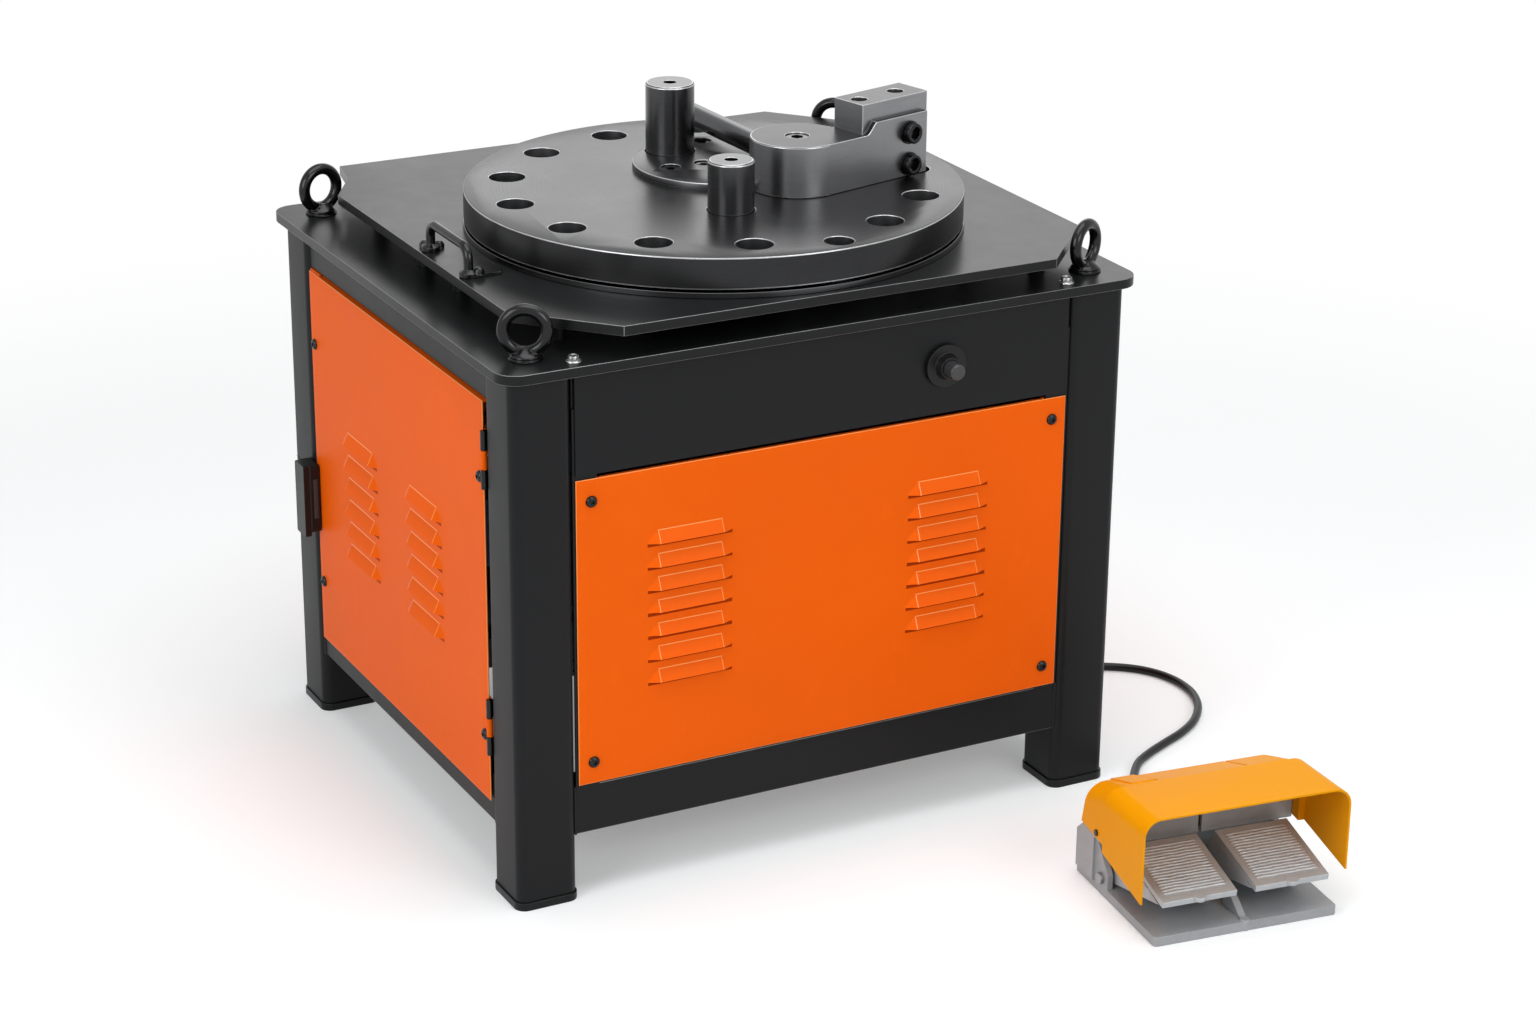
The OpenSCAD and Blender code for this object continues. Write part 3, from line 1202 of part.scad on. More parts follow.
module pedal(x) color("#b0b2b6") pedal_place() translate([x, 0, 0]) difference() {
    union() {
        translate([0, tread_front_y, tread_front_z]) rotate([tread_slope, 0, 0]) {
            translate([-tread_w/2, 0, -tread_t]) cube([tread_w, tread_l, tread_t]);
            for (i = [0:tread_ribs - 1]) translate([-tread_w/2 + rib_in, rib_first + i*rib_pitch, -over])
                cube([tread_w - 2*rib_in, rib_w, rib_h + over]);
            translate([0, rib_w, -over]) cylinder(over + rib_h/2, r = tread_boss_r);
        }
        for (s = [-1, 1]) translate([s*(tread_w - skirt_t)/2, 0, 0]) pedal_profile([
            [tread_front_y + skirt_in, tread_front_z - tread_t],
            [tread_front_y + tread_l*cos(tread_slope) - skirt_gap,
                tread_front_z + (tread_l - tread_t)*sin(tread_slope) - skirt_gap],
            [shaft_y, shaft_z + pedal_hub_r], [shaft_y - skirt_low, shaft_z - pedal_hub_r + skirt_gap]],
                skirt_t);
        translate([-tread_w/2, shaft_y, shaft_z]) rotate([0, 90, 0]) cylinder(tread_w, r = pedal_hub_r);
        translate([0, spring_y, pedal_spring_top + fit])
            cylinder(spring_r + spring_wire_r - pedal_spring_top + tread_front_z,
                r = spring_r + 2*spring_wire_r);
    }
    translate([-tread_w, shaft_y, shaft_z]) rotate([0, 90, 0]) cylinder(2*tread_w, r = pedal_shaft_r + run);
}
module left_pedal() pedal(-tread_x);
module right_pedal() pedal(tread_x);
module pedal_spring(x) color("#9a9ca0") pedal_place() translate([x, spring_y, pedal_base_t + spring_wire_r])
    tube(coil(spring_r, pedal_spring_top - pedal_base_t - 2*spring_wire_r, spring_turns, curl_rings),
        spring_wire_r, wire_sides);
module left_pedal_spring() pedal_spring(-tread_x);
module right_pedal_spring() pedal_spring(tread_x);
module pedal_switches() color("#23262b") pedal_place() for (x = [-1, 1])
    translate([x*tread_x, case_y + case_wall + contact_in, case_step_z + case_wall + contact_up])
        cube([contact_w, contact_d, contact_h], center = true);

// Bending disc and what stands on it
module rim_places() for (i = [0:rim_holes - 1]) rotate([0, 0, rim_first + i*rim_step])
    translate([rim_circle_r, 0, 0]) children();
module bending_disc() color("#3c3e42") disc_place() difference() {
    translate([0, 0, -disc_t]) rotate_extrude() polygon([[0, 0], [disc_r - edge, 0], [disc_r, edge],
        [disc_r, disc_t - disc_edge], [disc_r - disc_edge, disc_t], [0, disc_t]]);
    rim_places() translate([0, 0, -disc_t - over]) cylinder(disc_t + 2*over, r = rim_hole_r);
    rotate([0, 0, rim_first - (360 - (rim_holes - 1)*rim_step)/2])
        translate([stop_circle_r, 0, -disc_t - over])
        cylinder(disc_t + 2*over, r = stop_hole_r);
    for (p = [[centre_pin_x, centre_pin_y], [bend_pin_x, bend_pin_y]])
        translate([p[0], p[1], -shank_l - fit])
        cylinder(shank_l + over + fit, r = shank_r + run);
    translate([bend_pin_x, bend_pin_y, -bend_seat_h])
        cylinder(bend_seat_h + over, r = bend_pin_r + pin_seat_gap);
    translate([nose_x, nose_y, -disc_t/2]) cylinder(disc_t/2 + over, r = arm_bolt_r + seat);
    hub_screw_places() translate([0, 0, -hub_screw_l]) cylinder(hub_screw_l + over, r = hub_screw_r + seat);
}
module hub_screw_places() for (p = hub_screw_at) translate([p[0], p[1], 0]) children();
module hub_plate() color("#43454a") disc_place() difference() {
    translate([hub_x, hub_y, 0]) rotate_extrude() polygon([[0, 0], [hub_r, 0], [hub_r, hub_t - edge],
        [hub_r - edge, hub_t], [0, hub_t]]);
    translate([centre_pin_x, centre_pin_y, -over]) cylinder(hub_t + 2*over, r = centre_pin_r + pin_seat_gap);
    translate([nose_x, nose_y, -over]) cylinder(hub_t + 2*over, r = nose_r + nose_gap);
    hub_screw_places() translate([0, 0, -over]) cylinder(hub_t + 2*over, r = hub_screw_r*2);
}
module hub_screws() color("#2a2b2e") disc_place() hub_screw_places() difference() {
    union() {
        translate([0, 0, -hub_screw_l]) cylinder(hub_screw_l, r = hub_screw_r);
        cylinder(hub_t - hub_screw_sink, r = 2*hub_screw_r - fit);
    }
    translate([0, 0, hub_t - hub_screw_sink - hub_socket_deep])
        cylinder(hub_socket_deep + over, r = hub_socket_r, $fn = 6);
}
module pin(r, height, seat_depth) difference() {
    rotate_extrude() polygon([[0, -shank_l], [shank_r - edge, -shank_l], [shank_r, edge - shank_l],
        [shank_r, -seat_depth], [r, -seat_depth], [r, height - pin_chamfer], [r - pin_chamfer, height],
        [0, height]]);
    translate([0, 0, height - lift_hole_l]) cylinder(lift_hole_l + over, r = lift_hole_r);
}
module centre_pin() color("#55575c") disc_place() translate([centre_pin_x, centre_pin_y, 0])
    pin(centre_pin_r, centre_pin_h, 0);
module bending_pin() color("#55575c") disc_place() translate([bend_pin_x, bend_pin_y, 0])
    pin(bend_pin_r, bend_pin_h, bend_seat_h);

// Bending arm: round nose, cheek, and a clamp block held behind the cheek by two cap screws
module bending_arm() color("#4a4c51") arm_place() difference() {
    union() {
        rotate_extrude() polygon([[0, 0], [nose_r - edge, 0], [nose_r, edge], [nose_r, nose_h - edge],
            [nose_r - edge, nose_h], [0, nose_h]]);
        translate([0, cheek_front, 0]) cube([clamp_s - clamp_gap, nose_r, nose_h]);
        translate([0, clamp_front, 0]) rotate([90, 0, 0]) linear_extrude(cheek_t) cheek_outline();
    }
    translate([0, 0, -over]) cylinder(nose_h + 2*over, r = arm_bolt_r + run);
    translate([0, 0, nose_h - arm_bolt_sink]) cylinder(arm_bolt_sink + over, r = arm_bolt_head_r + fit);
    for (z = cap_z) translate([cap_s, cheek_front - over, z]) rotate([-90, 0, 0])
        cylinder(cheek_t + 2*over, r = cap_r + seat);
    rotate([0, 0, bar_dir]) translate([nose_r - bar_spigot_l, 0, bar_z]) rotate([0, 90, 0])
        cylinder(bar_spigot_l + over, r = bar_spigot_r + seat);
    rotate([0, 0, bar_dir]) translate([nose_r - bar_seat_h, 0, bar_z]) rotate([0, 90, 0])
        cylinder(bar_seat_h + bar_r, r = bar_r + seat);
}
// The cheek's front outline: level at the nose, then an S-shaped rise to its full height
module cheek_outline() {
    rise = cheek_h - nose_h;
    difference() {
        union() {
            square([arm_l, nose_h]);
            translate([cheek_s, 0]) square([arm_l - cheek_s, cheek_h]);
        }
        translate([cheek_s, cheek_h]) polygon([for (i = [0:cheek_steps]) let (u = i/cheek_steps)
            [rise*cheek_rise_share*u, rise*(u*u*(3 - 2*u) - 1) + (i == cheek_steps ? over : 0)],
            [-over, over], [-over, -rise]]);
    }
}
module clamp_block() color("#46484d") arm_place() difference() {
    translate([clamp_s, clamp_front + seat, 0]) cube([clamp_l, clamp_d, clamp_h]);
    for (s = clamp_hole_shares) translate([clamp_s + clamp_l*s, clamp_front + clamp_d/2,
        clamp_h - clamp_hole_l])
        cylinder(clamp_hole_l + over, r = clamp_hole_r);
    for (z = cap_z) translate([cap_s, clamp_front - over, z]) rotate([-90, 0, 0])
        cylinder(clamp_d*clamp_bore_share + over, r = cap_r + seat);
}
module clamp_screws() color("#2c2d30") arm_place() for (z = cap_z) translate([cap_s, cheek_front, z])
    rotate([-90, 0, 0]) difference() {
        union() {
            cylinder(cheek_t + clamp_d*clamp_screw_share, r = cap_r);
            translate([0, 0, -cap_head_h]) cylinder(cap_head_h, r = cap_head_r);
            translate([0, 0, -cap_washer]) cylinder(cap_washer, r = cap_head_r + cap_washer);
        }
        translate([0, 0, -cap_head_h - over]) cylinder(cap_socket_h + over, r = cap_r, $fn = 6);
    }
module arm_bolt() color("#2c2d30") disc_place() translate([nose_x, nose_y, 0]) difference() {
    union() {
        translate([0, 0, arm_bolt_low - disc_t/2])
            cylinder(disc_t/2 + nose_h - arm_bolt_sink + fit, r = arm_bolt_r);
        translate([0, 0, nose_h - arm_bolt_sink + 2*fit]) cylinder(arm_bolt_head_h, r = arm_bolt_head_r);
    }
    translate([0, 0, nose_h - arm_bolt_sink + 2*fit + arm_bolt_head_h - arm_socket_deep])
        cylinder(arm_socket_deep + over, r = arm_socket_r, $fn = 6);
}
module stop_bar() color("#3f4146") arm_place() rotate([0, 0, bar_dir]) translate([nose_r, 0, bar_z])
    rotate([0, 90, 0]) rotate_extrude()
        polygon([[0, bar_gap - bar_spigot_l], [bar_spigot_r, bar_gap - bar_spigot_l],
        [bar_spigot_r, -bar_seat_h], [bar_r, -bar_seat_h], [bar_r, bar_reach - bar_chamfer],
        [bar_r - bar_chamfer, bar_reach], [0, bar_reach]]);

legs();
foot_pads();
lower_rails();
upper_rails();
table_plate();
cover_plate();
plate_spacers();
eyebolts();
plate_bolts();
grab_handle();
wear_ring();
fascia();
front_panel();
right_panel();
back_panel();
panel_strips();
panel_screws();
drive_bed();
spindle_housing();
spindle_bearings();
gearbox();
motor();
v_belts();
control_box();
button_bezel();
switch_block();
button_spring();
cable_glands();
foot_cable();
door_hinges();
pedal_base();
pedal_hood();
hood_screws();
pedal_shaft();
pedal_switches();
left_pedal_spring();
right_pedal_spring();
left_pedal();
right_pedal();
bending_disc();
hub_plate();
hub_screws();
spindle();
main_gear();
arm_bolt();
centre_pin();
bending_pin();
bending_arm();
clamp_block();
clamp_screws();
stop_bar();
gearbox_pinion();
driven_pulley();
motor_pulley();
push_button();
side_door();
door_latch();
door_screws();
latch_paddle();
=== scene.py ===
import json
import math

import bmesh
import bpy
from mathutils import Matrix, Vector

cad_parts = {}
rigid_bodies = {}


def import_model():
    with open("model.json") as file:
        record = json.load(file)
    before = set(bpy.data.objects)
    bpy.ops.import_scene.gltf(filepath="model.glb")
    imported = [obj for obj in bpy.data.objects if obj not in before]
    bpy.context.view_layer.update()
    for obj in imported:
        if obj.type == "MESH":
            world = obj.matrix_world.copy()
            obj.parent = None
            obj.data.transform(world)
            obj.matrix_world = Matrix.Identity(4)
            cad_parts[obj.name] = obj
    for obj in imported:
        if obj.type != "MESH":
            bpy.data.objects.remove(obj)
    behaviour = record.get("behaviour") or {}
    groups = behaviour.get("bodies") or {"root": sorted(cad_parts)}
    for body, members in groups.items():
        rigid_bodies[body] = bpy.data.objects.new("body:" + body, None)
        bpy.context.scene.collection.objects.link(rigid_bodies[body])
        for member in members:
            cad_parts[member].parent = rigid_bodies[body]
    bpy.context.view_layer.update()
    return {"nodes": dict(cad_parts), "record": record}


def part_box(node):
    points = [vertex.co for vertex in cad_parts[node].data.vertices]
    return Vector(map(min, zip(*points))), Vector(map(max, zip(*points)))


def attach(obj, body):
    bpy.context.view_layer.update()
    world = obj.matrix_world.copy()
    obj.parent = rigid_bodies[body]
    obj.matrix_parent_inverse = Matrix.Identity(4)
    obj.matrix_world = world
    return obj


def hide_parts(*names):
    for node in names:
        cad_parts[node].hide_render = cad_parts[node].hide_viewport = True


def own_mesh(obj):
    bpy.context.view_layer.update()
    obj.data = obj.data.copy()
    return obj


# Electric rebar bender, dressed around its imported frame. Metres, front towards -Y, up +Z.
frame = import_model()
nodes = frame["nodes"]
bodyOf = {node: body for body, group in frame["record"]["behaviour"]["bodies"].items() for node in group}
slotOf = {name: node.data.materials[0].name for name, node in nodes.items()}
mm = 0.001
print("frame loaded,", len(nodes), "nodes")

# Camera, at the photograph's own viewpoint
sight = {"frameWidth": 1536, "focal": 3524.37, "sensor": 36, "azimuth": 27.96, "pitch": -21.5, "roll": 0.53,
         "place": (-1.85047, -3.6843, 1.93039), "farthest": 60}


def makeCamera():
    azimuth, pitch, roll = (math.radians(sight[k]) for k in ("azimuth", "pitch", "roll"))
    forward = Vector((math.sin(azimuth) * math.cos(pitch), math.cos(azimuth) * math.cos(pitch), math.sin(pitch)))
    level = Vector((math.cos(azimuth), -math.sin(azimuth), 0))
    above = level.cross(forward)
    right = level * math.cos(roll) + above * math.sin(roll)
    up = above * math.cos(roll) - level * math.sin(roll)
    lens = bpy.data.cameras.new("photoCamera")
    lens.sensor_width = sight["sensor"]
    lens.lens = sight["sensor"] * sight["focal"] / sight["frameWidth"]
    lens.clip_end = sight["farthest"]
    camera = bpy.data.objects.new("photoCamera", lens)
    turn = Matrix((right, up, -forward)).transposed().to_4x4()
    camera.matrix_world = Matrix.Translation(Vector(sight["place"])) @ turn
    bpy.context.scene.collection.objects.link(camera)
    bpy.context.scene.camera = camera


makeCamera()
print("camera placed")


# Shader and geometry maths: a Wire is a socket, and an expression on wires adds its Math nodes
class Wire:
    def __init__(self, graph, socket):
        self.graph, self.socket = graph, socket

    def joined(self, operation, first, second=0):
        return self.graph.add("ShaderNodeMath", {"operation": operation}, {0: first, 1: second})

    def __add__(self, other):
        return self.joined("ADD", self, other)

    def __sub__(self, other):
        return self.joined("SUBTRACT", self, other)

    def __rsub__(self, other):
        return self.joined("SUBTRACT", other, self)

    def __mul__(self, other):
        return self.joined("MULTIPLY", self, other)

    def __truediv__(self, other):
        return self.joined("DIVIDE", self, other)

    def __gt__(self, other):
        return self.joined("GREATER_THAN", self, other)

    def least(self, other):
        return self.joined("MINIMUM", self, other)

    def size(self):
        return self.joined("ABSOLUTE", self)

    def cosine(self):
        return self.joined("COSINE", self)

    def sine(self):
        return self.joined("SINE", self)


class Graph:
    def __init__(self, tree):
        self.tree = tree

    def link(self, value, socket):
        if isinstance(value, Wire):
            self.tree.links.new(value.socket, socket)
        elif isinstance(value, list):
            for wire in value:
                self.tree.links.new(wire.socket, socket)
        else:
            if socket.type == "RGBA" and len(value) == 3:
                value = (*value, 1)
            socket.default_value = value

    def add(self, kind, settings=None, values=None, out=0):
        node = self.tree.nodes.new(kind)
        for key, value in (settings or {}).items():
            setattr(node, key, value)
        for key, value in (values or {}).items():
            self.link(value, node.inputs[key])
        return Wire(self, node.outputs[out]) if len(node.outputs) else node


class Paint(Graph):
    def __init__(self, name, tree=None):
        if tree is None:
            self.material = bpy.data.materials.new(name)
            self.material.use_nodes = True
            tree = self.material.node_tree
        super().__init__(tree)
        self.tree.nodes.clear()

    def place(self, scale=(1, 1, 1), shift=(0, 0, 0), turn=0):
        spot = self.add("ShaderNodeTexCoord", out="Object")
        return self.add("ShaderNodeMapping", {"vector_type": "POINT"}, {
            "Vector": spot, "Scale": scale, "Location": shift, "Rotation": (0, 0, math.radians(turn))})

    def noise(self, scale, stretch=(1, 1, 1), detail=2.0, rough=0.5, turn=0):
        return self.add("ShaderNodeTexNoise", {"noise_dimensions": "3D"}, {
            "Vector": self.place(stretch, turn=turn), "Scale": scale, "Detail": detail, "Roughness": rough},
            out="Fac")

    def upward(self):
        # 1 on faces that look up or down, 0 on upright ones
        facing = self.add("ShaderNodeNewGeometry", out="Normal")
        return self.add("ShaderNodeSeparateXYZ", None, {"Vector": facing}, out="Z").size() > 0.6

    def blend(self, share, first, second):
        # the Mix node's colour sockets are its seventh and eighth inputs
        return self.add("ShaderNodeMix", {"data_type": "RGBA"}, {0: share, 6: first, 7: second}, out=2)

    def bump(self, height, distance):
        return self.add("ShaderNodeBump", None, {"Height": height, "Distance": distance, "Strength": 1.0})

    def finish(self, **sockets):
        names = {"colour": "Base Color", "rough": "Roughness", "metal": "Metallic", "normal": "Normal",
                 "gloss": "Specular IOR Level"}
        shader = self.add("ShaderNodeBsdfPrincipled", None, {names[k]: v for k, v in sockets.items()})
        self.add("ShaderNodeOutputMaterial", None, {"Surface": shader})
        return self.material


def shaded(colour, share):
    return tuple(min(1, c * share) for c in colour)


# Finishes
def powderCoat(name, colour, rough, gloss, peel=1.0):
    # sprayed powder: an even colour, an orange-peel skin of about a millimetre, faint handling marks
    paint = Paint(name)
    cloud = paint.noise(5, detail=3)
    marks = paint.noise(38, (1, 1, 0.35), detail=4, rough=0.65)
    tone = paint.blend(cloud, shaded(colour, 0.93), shaded(colour, 1.07))
    tone = paint.blend((marks > 0.66) * 0.2, tone, shaded(colour, 1.2))
    skin = paint.noise(620, detail=2)
    return paint.finish(colour=tone, rough=cloud * 0.08 + marks * 0.08 + (rough - 0.08), gloss=gloss,
                        normal=paint.bump(skin, 0.03 * mm * peel))


def groundSteel(name, top, side, rough, turn=0.0):
    # ground and blackened steel: brushed lines on the flats, fine lines round the sides, cloudy blackening
    paint = Paint(name)
    fleck = 0.38
    around = paint.noise(1, (22, 22, 1500), detail=3, rough=0.7)
    across = paint.noise(1, (26, 1300, 26), detail=3, rough=0.7, turn=turn)
    flat = paint.upward()
    lines = flat * across + (1 - flat) * around
    cloud = paint.noise(9, detail=4, rough=0.6)
    mottle = lines * 0.5 + cloud * 0.5
    # where the top and side colours differ, the difference is painted light on the flats or the sides
    low = paint.blend(flat, shaded(side, 1 - fleck), shaded(top, 1 - fleck))
    high = paint.blend(flat, shaded(side, 1 + fleck), shaded(top, 1 + fleck))
    return paint.finish(colour=paint.blend(mottle, low, high), metal=1.0,
                        rough=lines * 0.14 + cloud * 0.1 + (rough - 0.12), normal=paint.bump(lines, 0.012 * mm))


def turnedSteel(name, top, side, bore, rough, middle, rimRadius):
    # a faced disc: fine rings round its middle on the flats; the walls of its bores painted lighter than the rim, a
    # painted highlight for their lit far walls
    paint = Paint(name)
    spot = paint.place(shift=(-middle[0], -middle[1], 0))
    level = paint.add("ShaderNodeVectorMath", {"operation": "MULTIPLY"}, {0: spot, 1: (1, 1, 0)})
    radius = paint.add("ShaderNodeVectorMath", {"operation": "LENGTH"}, {0: level}, out="Value")
    rings = paint.add("ShaderNodeTexNoise", {"noise_dimensions": "1D"}, {"W": radius, "Scale": 900, "Detail": 3.0},
                      out="Fac")
    around = paint.noise(1, (14, 14, 1200), detail=3, rough=0.7)
    flat = paint.upward()
    lines = flat * rings + (1 - flat) * around
    cloud = paint.noise(7, detail=5, rough=0.6)
    mottle = lines * 0.35 + cloud * 0.65
    rim = radius > rimRadius
    low = paint.blend(flat, paint.blend(rim, shaded(bore, 0.6), shaded(side, 0.6)), shaded(top, 0.66))
    high = paint.blend(flat, paint.blend(rim, shaded(bore, 1.4), shaded(side, 1.4)), shaded(top, 1.34))
    return paint.finish(colour=paint.blend(mottle, low, high), metal=1.0,
                        rough=lines * 0.12 + cloud * 0.16 + (rough - 0.14), normal=paint.bump(lines, 0.009 * mm))


def darkOxide(name, colour, rough):
    # oiled black oxide on fasteners and forgings
    paint = Paint(name)
    cloud = paint.noise(60, detail=4, rough=0.6)
    pits = paint.noise(900, detail=2)
    tone = paint.blend(cloud, shaded(colour, 0.7), shaded(colour, 1.4))
    return paint.finish(colour=tone, metal=0.9, rough=cloud * 0.16 + (rough - 0.08),
                        normal=paint.bump(pits, 0.02 * mm))


def castMetal(name, colour, rough, metal, grain=1.0):
    # sand-cast aluminium: a fine pebbled skin with coarser swells and darker hollows
    paint = Paint(name)
    pebbles = paint.noise(520, detail=3, rough=0.65)
    swells = paint.noise(70, detail=3)
    tone = paint.blend(pebbles * 0.6 + swells * 0.4, shaded(colour, 0.72), shaded(colour, 1.26))
    return paint.finish(colour=tone, metal=metal, rough=pebbles * 0.2 + (rough - 0.1),
                        normal=paint.bump(pebbles * 0.7 + swells * 0.6, 0.16 * mm * grain))


def moulded(name, colour, rough, gloss=0.5):
    # moulded plastic or rubber: a fine even texture and slight shine changes
    paint = Paint(name)
    skin = paint.noise(1100, detail=2)
    cloud = paint.noise(30, detail=3)
    tone = paint.blend(cloud, shaded(colour, 0.85), shaded(colour, 1.2))
    return paint.finish(colour=tone, rough=cloud * 0.1 + (rough - 0.05), gloss=gloss,
                        normal=paint.bump(skin, 0.02 * mm))


# A steel's grey, and the turn of the arm and its brushed lines about Z at rest, in degrees
grey = (1, 1.01, 1.05)
armTurn = 14.5
finishes = {
    "frame_paint": powderCoat("satinBlackPowder", (0.0075, 0.008, 0.009), 0.4, 0.18),
    "plate_paint": powderCoat("blackPlatePaint", (0.008, 0.0085, 0.009), 0.3, 0.2, peel=0.3),
    "orange_paint": powderCoat("orangePowder", (0.90, 0.125, 0.003), 0.42, 0.06),
    "yellow_paint": powderCoat("yellowHoodPaint", (0.86, 0.35, 0.002), 0.4, 0.05, peel=0.8),
    "blackened_steel": groundSteel("blackenedSteel", shaded(grey, 0.08), shaded(grey, 0.08), 0.25, turn=armTurn),
    "bright_steel": groundSteel("brightSteel", shaded(grey, 0.35), shaded(grey, 0.33), 0.32),
    "black_oxide": darkOxide("blackOxide", shaded(grey, 0.026), 0.2),
    "housing_paint": powderCoat("housingPaint", (0.05, 0.08, 0.1), 0.45, 0.4),
    "motor_paint": powderCoat("motorPaint", (0.04, 0.11, 0.25), 0.42, 0.4),
    "box_paint": powderCoat("controlBoxPaint", (0.35, 0.36, 0.37), 0.45, 0.4),
    "black_plastic": moulded("blackPlastic", (0.006, 0.006, 0.0065), 0.34, 0.28),
    "grey_plastic": moulded("greyPlastic", (0.035, 0.035, 0.038), 0.34),
    "belt_rubber": moulded("beltRubber", (0.015, 0.015, 0.015), 0.6, 0.3),
    "cable_rubber": moulded("cableRubber", (0.004, 0.004, 0.0045), 0.32, 0.28),
    "cast_aluminium": castMetal("castAluminium", (0.36, 0.375, 0.39), 0.48, 0.15),
    "spring_steel": groundSteel("springSteel", shaded(grey, 0.4), shaded(grey, 0.4), 0.3),
}
discMiddle = tuple((low + high) / 2 for low, high in zip(*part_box("bending_disc")))[:2]
discRim = 0.295
# painted highlight: the tool holes' walls, inside the rim radius, take a far lighter grey than the rim, standing in for
# light on their far walls
discSteel = turnedSteel("turnedDiscSteel", shaded(grey, 0.045), shaded(grey, 0.04), shaded(grey, 0.26), 0.3,
                        discMiddle, discRim)
hubSteel = turnedSteel("hubPlateSteel", shaded(grey, 0.06), shaded(grey, 0.06), shaded(grey, 0.06), 0.3, discMiddle, 0)
# painted highlight: the arm's and clamp block's upright sides take a grey about six times lighter than their tops, for
# the light they catch
armSteelLitSides = groundSteel("machinedArmSteel", shaded(grey, 0.042), shaded(grey, 0.25), 0.32, turn=armTurn)
# lighter rubbed edges: partly wear, partly a painted highlight where rounded edges catch the light
edgeShine = darkOxide("rubbedEdge", (0.42, 0.42, 0.43), 0.3)
plateEdgeWearAndHighlight = darkOxide("rubbedPlateEdge", (0.16, 0.16, 0.165), 0.3)
zincFinish = darkOxide("zincPlating", (0.5, 0.5, 0.5), 0.24)
# the treads' casting painted lighter and bluer than the base's: worn metal, and painted light for the light the hood
# keeps off them and against its orange bounce
treadCastWornAndLit = castMetal("wornTreadCasting", (0.46, 0.485, 0.505), 0.42, 0.3, grain=0.7)
# painted highlight: a lighter orange on the louvre bends and the panels' folded borders
orangeBend = powderCoat("orangeBend", (1.0, 0.3, 0.06), 0.3, 0.5, peel=0.3)
# painted shade: a dark orange band just under each louvre's mouth, where the lip's shadow falls
orangeShade = powderCoat("orangeShade", (0.36, 0.035, 0.001), 0.5, 0.03, peel=0.3)
print("finishes mixed")


# The foot switch's cable: its route from the side panel's gland to the foot switch's own
cable = {"diameter": 11 * mm, "start": (433.3 * mm, -8 * mm, 172 * mm), "lowest": 5.7 * mm, "steps": 6,
         "length": 0.89}
cable["route"] = [
    (0, 0, 0), (12, 0, 0), (26, 0, -3), (38, 0, -13), (46, -1, -30), (50, -2, -52), (52, -4, -78),
    (55, -6, -103), (61, -9, -126), (71, -14, -145), (86, -23, -159), (107, -37, -166), (137, -57, -167),
    (165, -75, -167), (186, -95, -167), (201, -121, -167), (208, -154, -167), (204, -191, -167),
    (187, -228, -167), (158, -261, -167), (124, -284, -167), (87, -301, -167), (53, -317, -167),
    (25, -334, -167), (5, -355, -167), (-16, -383, -167), (-36, -412, -167), (-53, -442, -165),
    (-65, -469, -159), (-72, -491, -150), (-76, -508, -144), (-78, -524, -144)]


def smoothPath(stops, steps):
    # a curve through every stop, with this many pieces between each two
    made = []
    for i in range(len(stops) - 1):
        a, b, c, d = (stops[min(max(k, 0), len(stops) - 1)] for k in range(i - 1, i + 3))
        for k in range(steps):
            t = k / steps
            made.append(0.5 * (2 * b + (c - a) * t + (2 * a - 5 * b + 4 * c - d) * t * t
                               + (3 * b - a - 3 * c + d) * t * t * t))
    return made + [stops[-1]]


def makeCable():
    route = [Vector(cable["start"]) + Vector(p) * mm for p in cable["route"]]
    line = smoothPath(route, cable["steps"])
    for p in line:
        p.z = max(p.z, cable["lowest"])
    curve = bpy.data.curves.new("footCable", "CURVE")
    curve.dimensions = "3D"
    curve.bevel_depth = cable["diameter"] / 2
    curve.bevel_resolution = 6
    curve.use_fill_caps = True
    spline = curve.splines.new("POLY")
    spline.points.add(len(line) - 1)
    for point, p in zip(spline.points, line):
        point.co = (*p, 1)
    spline.use_smooth = True
    curve.materials.append(finishes["cable_rubber"])
    piece = bpy.data.objects.new("footCable", curve)
    bpy.context.scene.collection.objects.link(piece)
    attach(piece, bodyOf["foot_cable"])
    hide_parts("foot_cable")
    print("cable laid,", round(sum((b - a).length for a, b in zip(line, line[1:])), 4), "m")


makeCable()


# Meshes: a finished piece rides with its node's body, in its node's slot, and may stand for nodes
def settle(mesh, name, node, *materials, replaced=()):
    piece = bpy.data.objects.new(name, mesh)
    bpy.context.scene.collection.objects.link(piece)
    if materials:
        mesh.materials.clear()
        for material in materials:
            mesh.materials.append(material)
    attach(piece, bodyOf[node])
    if replaced:
        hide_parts(*replaced)
    return piece


def smoothed(mesh, angle=35):
    for face in mesh.polygons:
        face.use_smooth = True
    mesh.set_sharp_from_angle(angle=math.radians(angle))
    return mesh


def meshOf(shape, name):
    mesh = bpy.data.meshes.new(name)
    shape.to_mesh(mesh)
    shape.free()
    return mesh


def baked(mesh, name, modifiers):
    # the mesh with these modifiers applied
    blank = bpy.data.objects.new(name, mesh)
    bpy.context.scene.collection.objects.link(blank)
    for kind, settings in modifiers:
        modifier = blank.modifiers.new(kind.lower(), kind)
        for key, value in settings.items():
            setattr(modifier, key, value)
    bpy.context.view_layer.update()
    result = bpy.data.meshes.new_from_object(blank.evaluated_get(bpy.context.evaluated_depsgraph_get()))
    result.name = name
    bpy.data.objects.remove(blank)
    return result


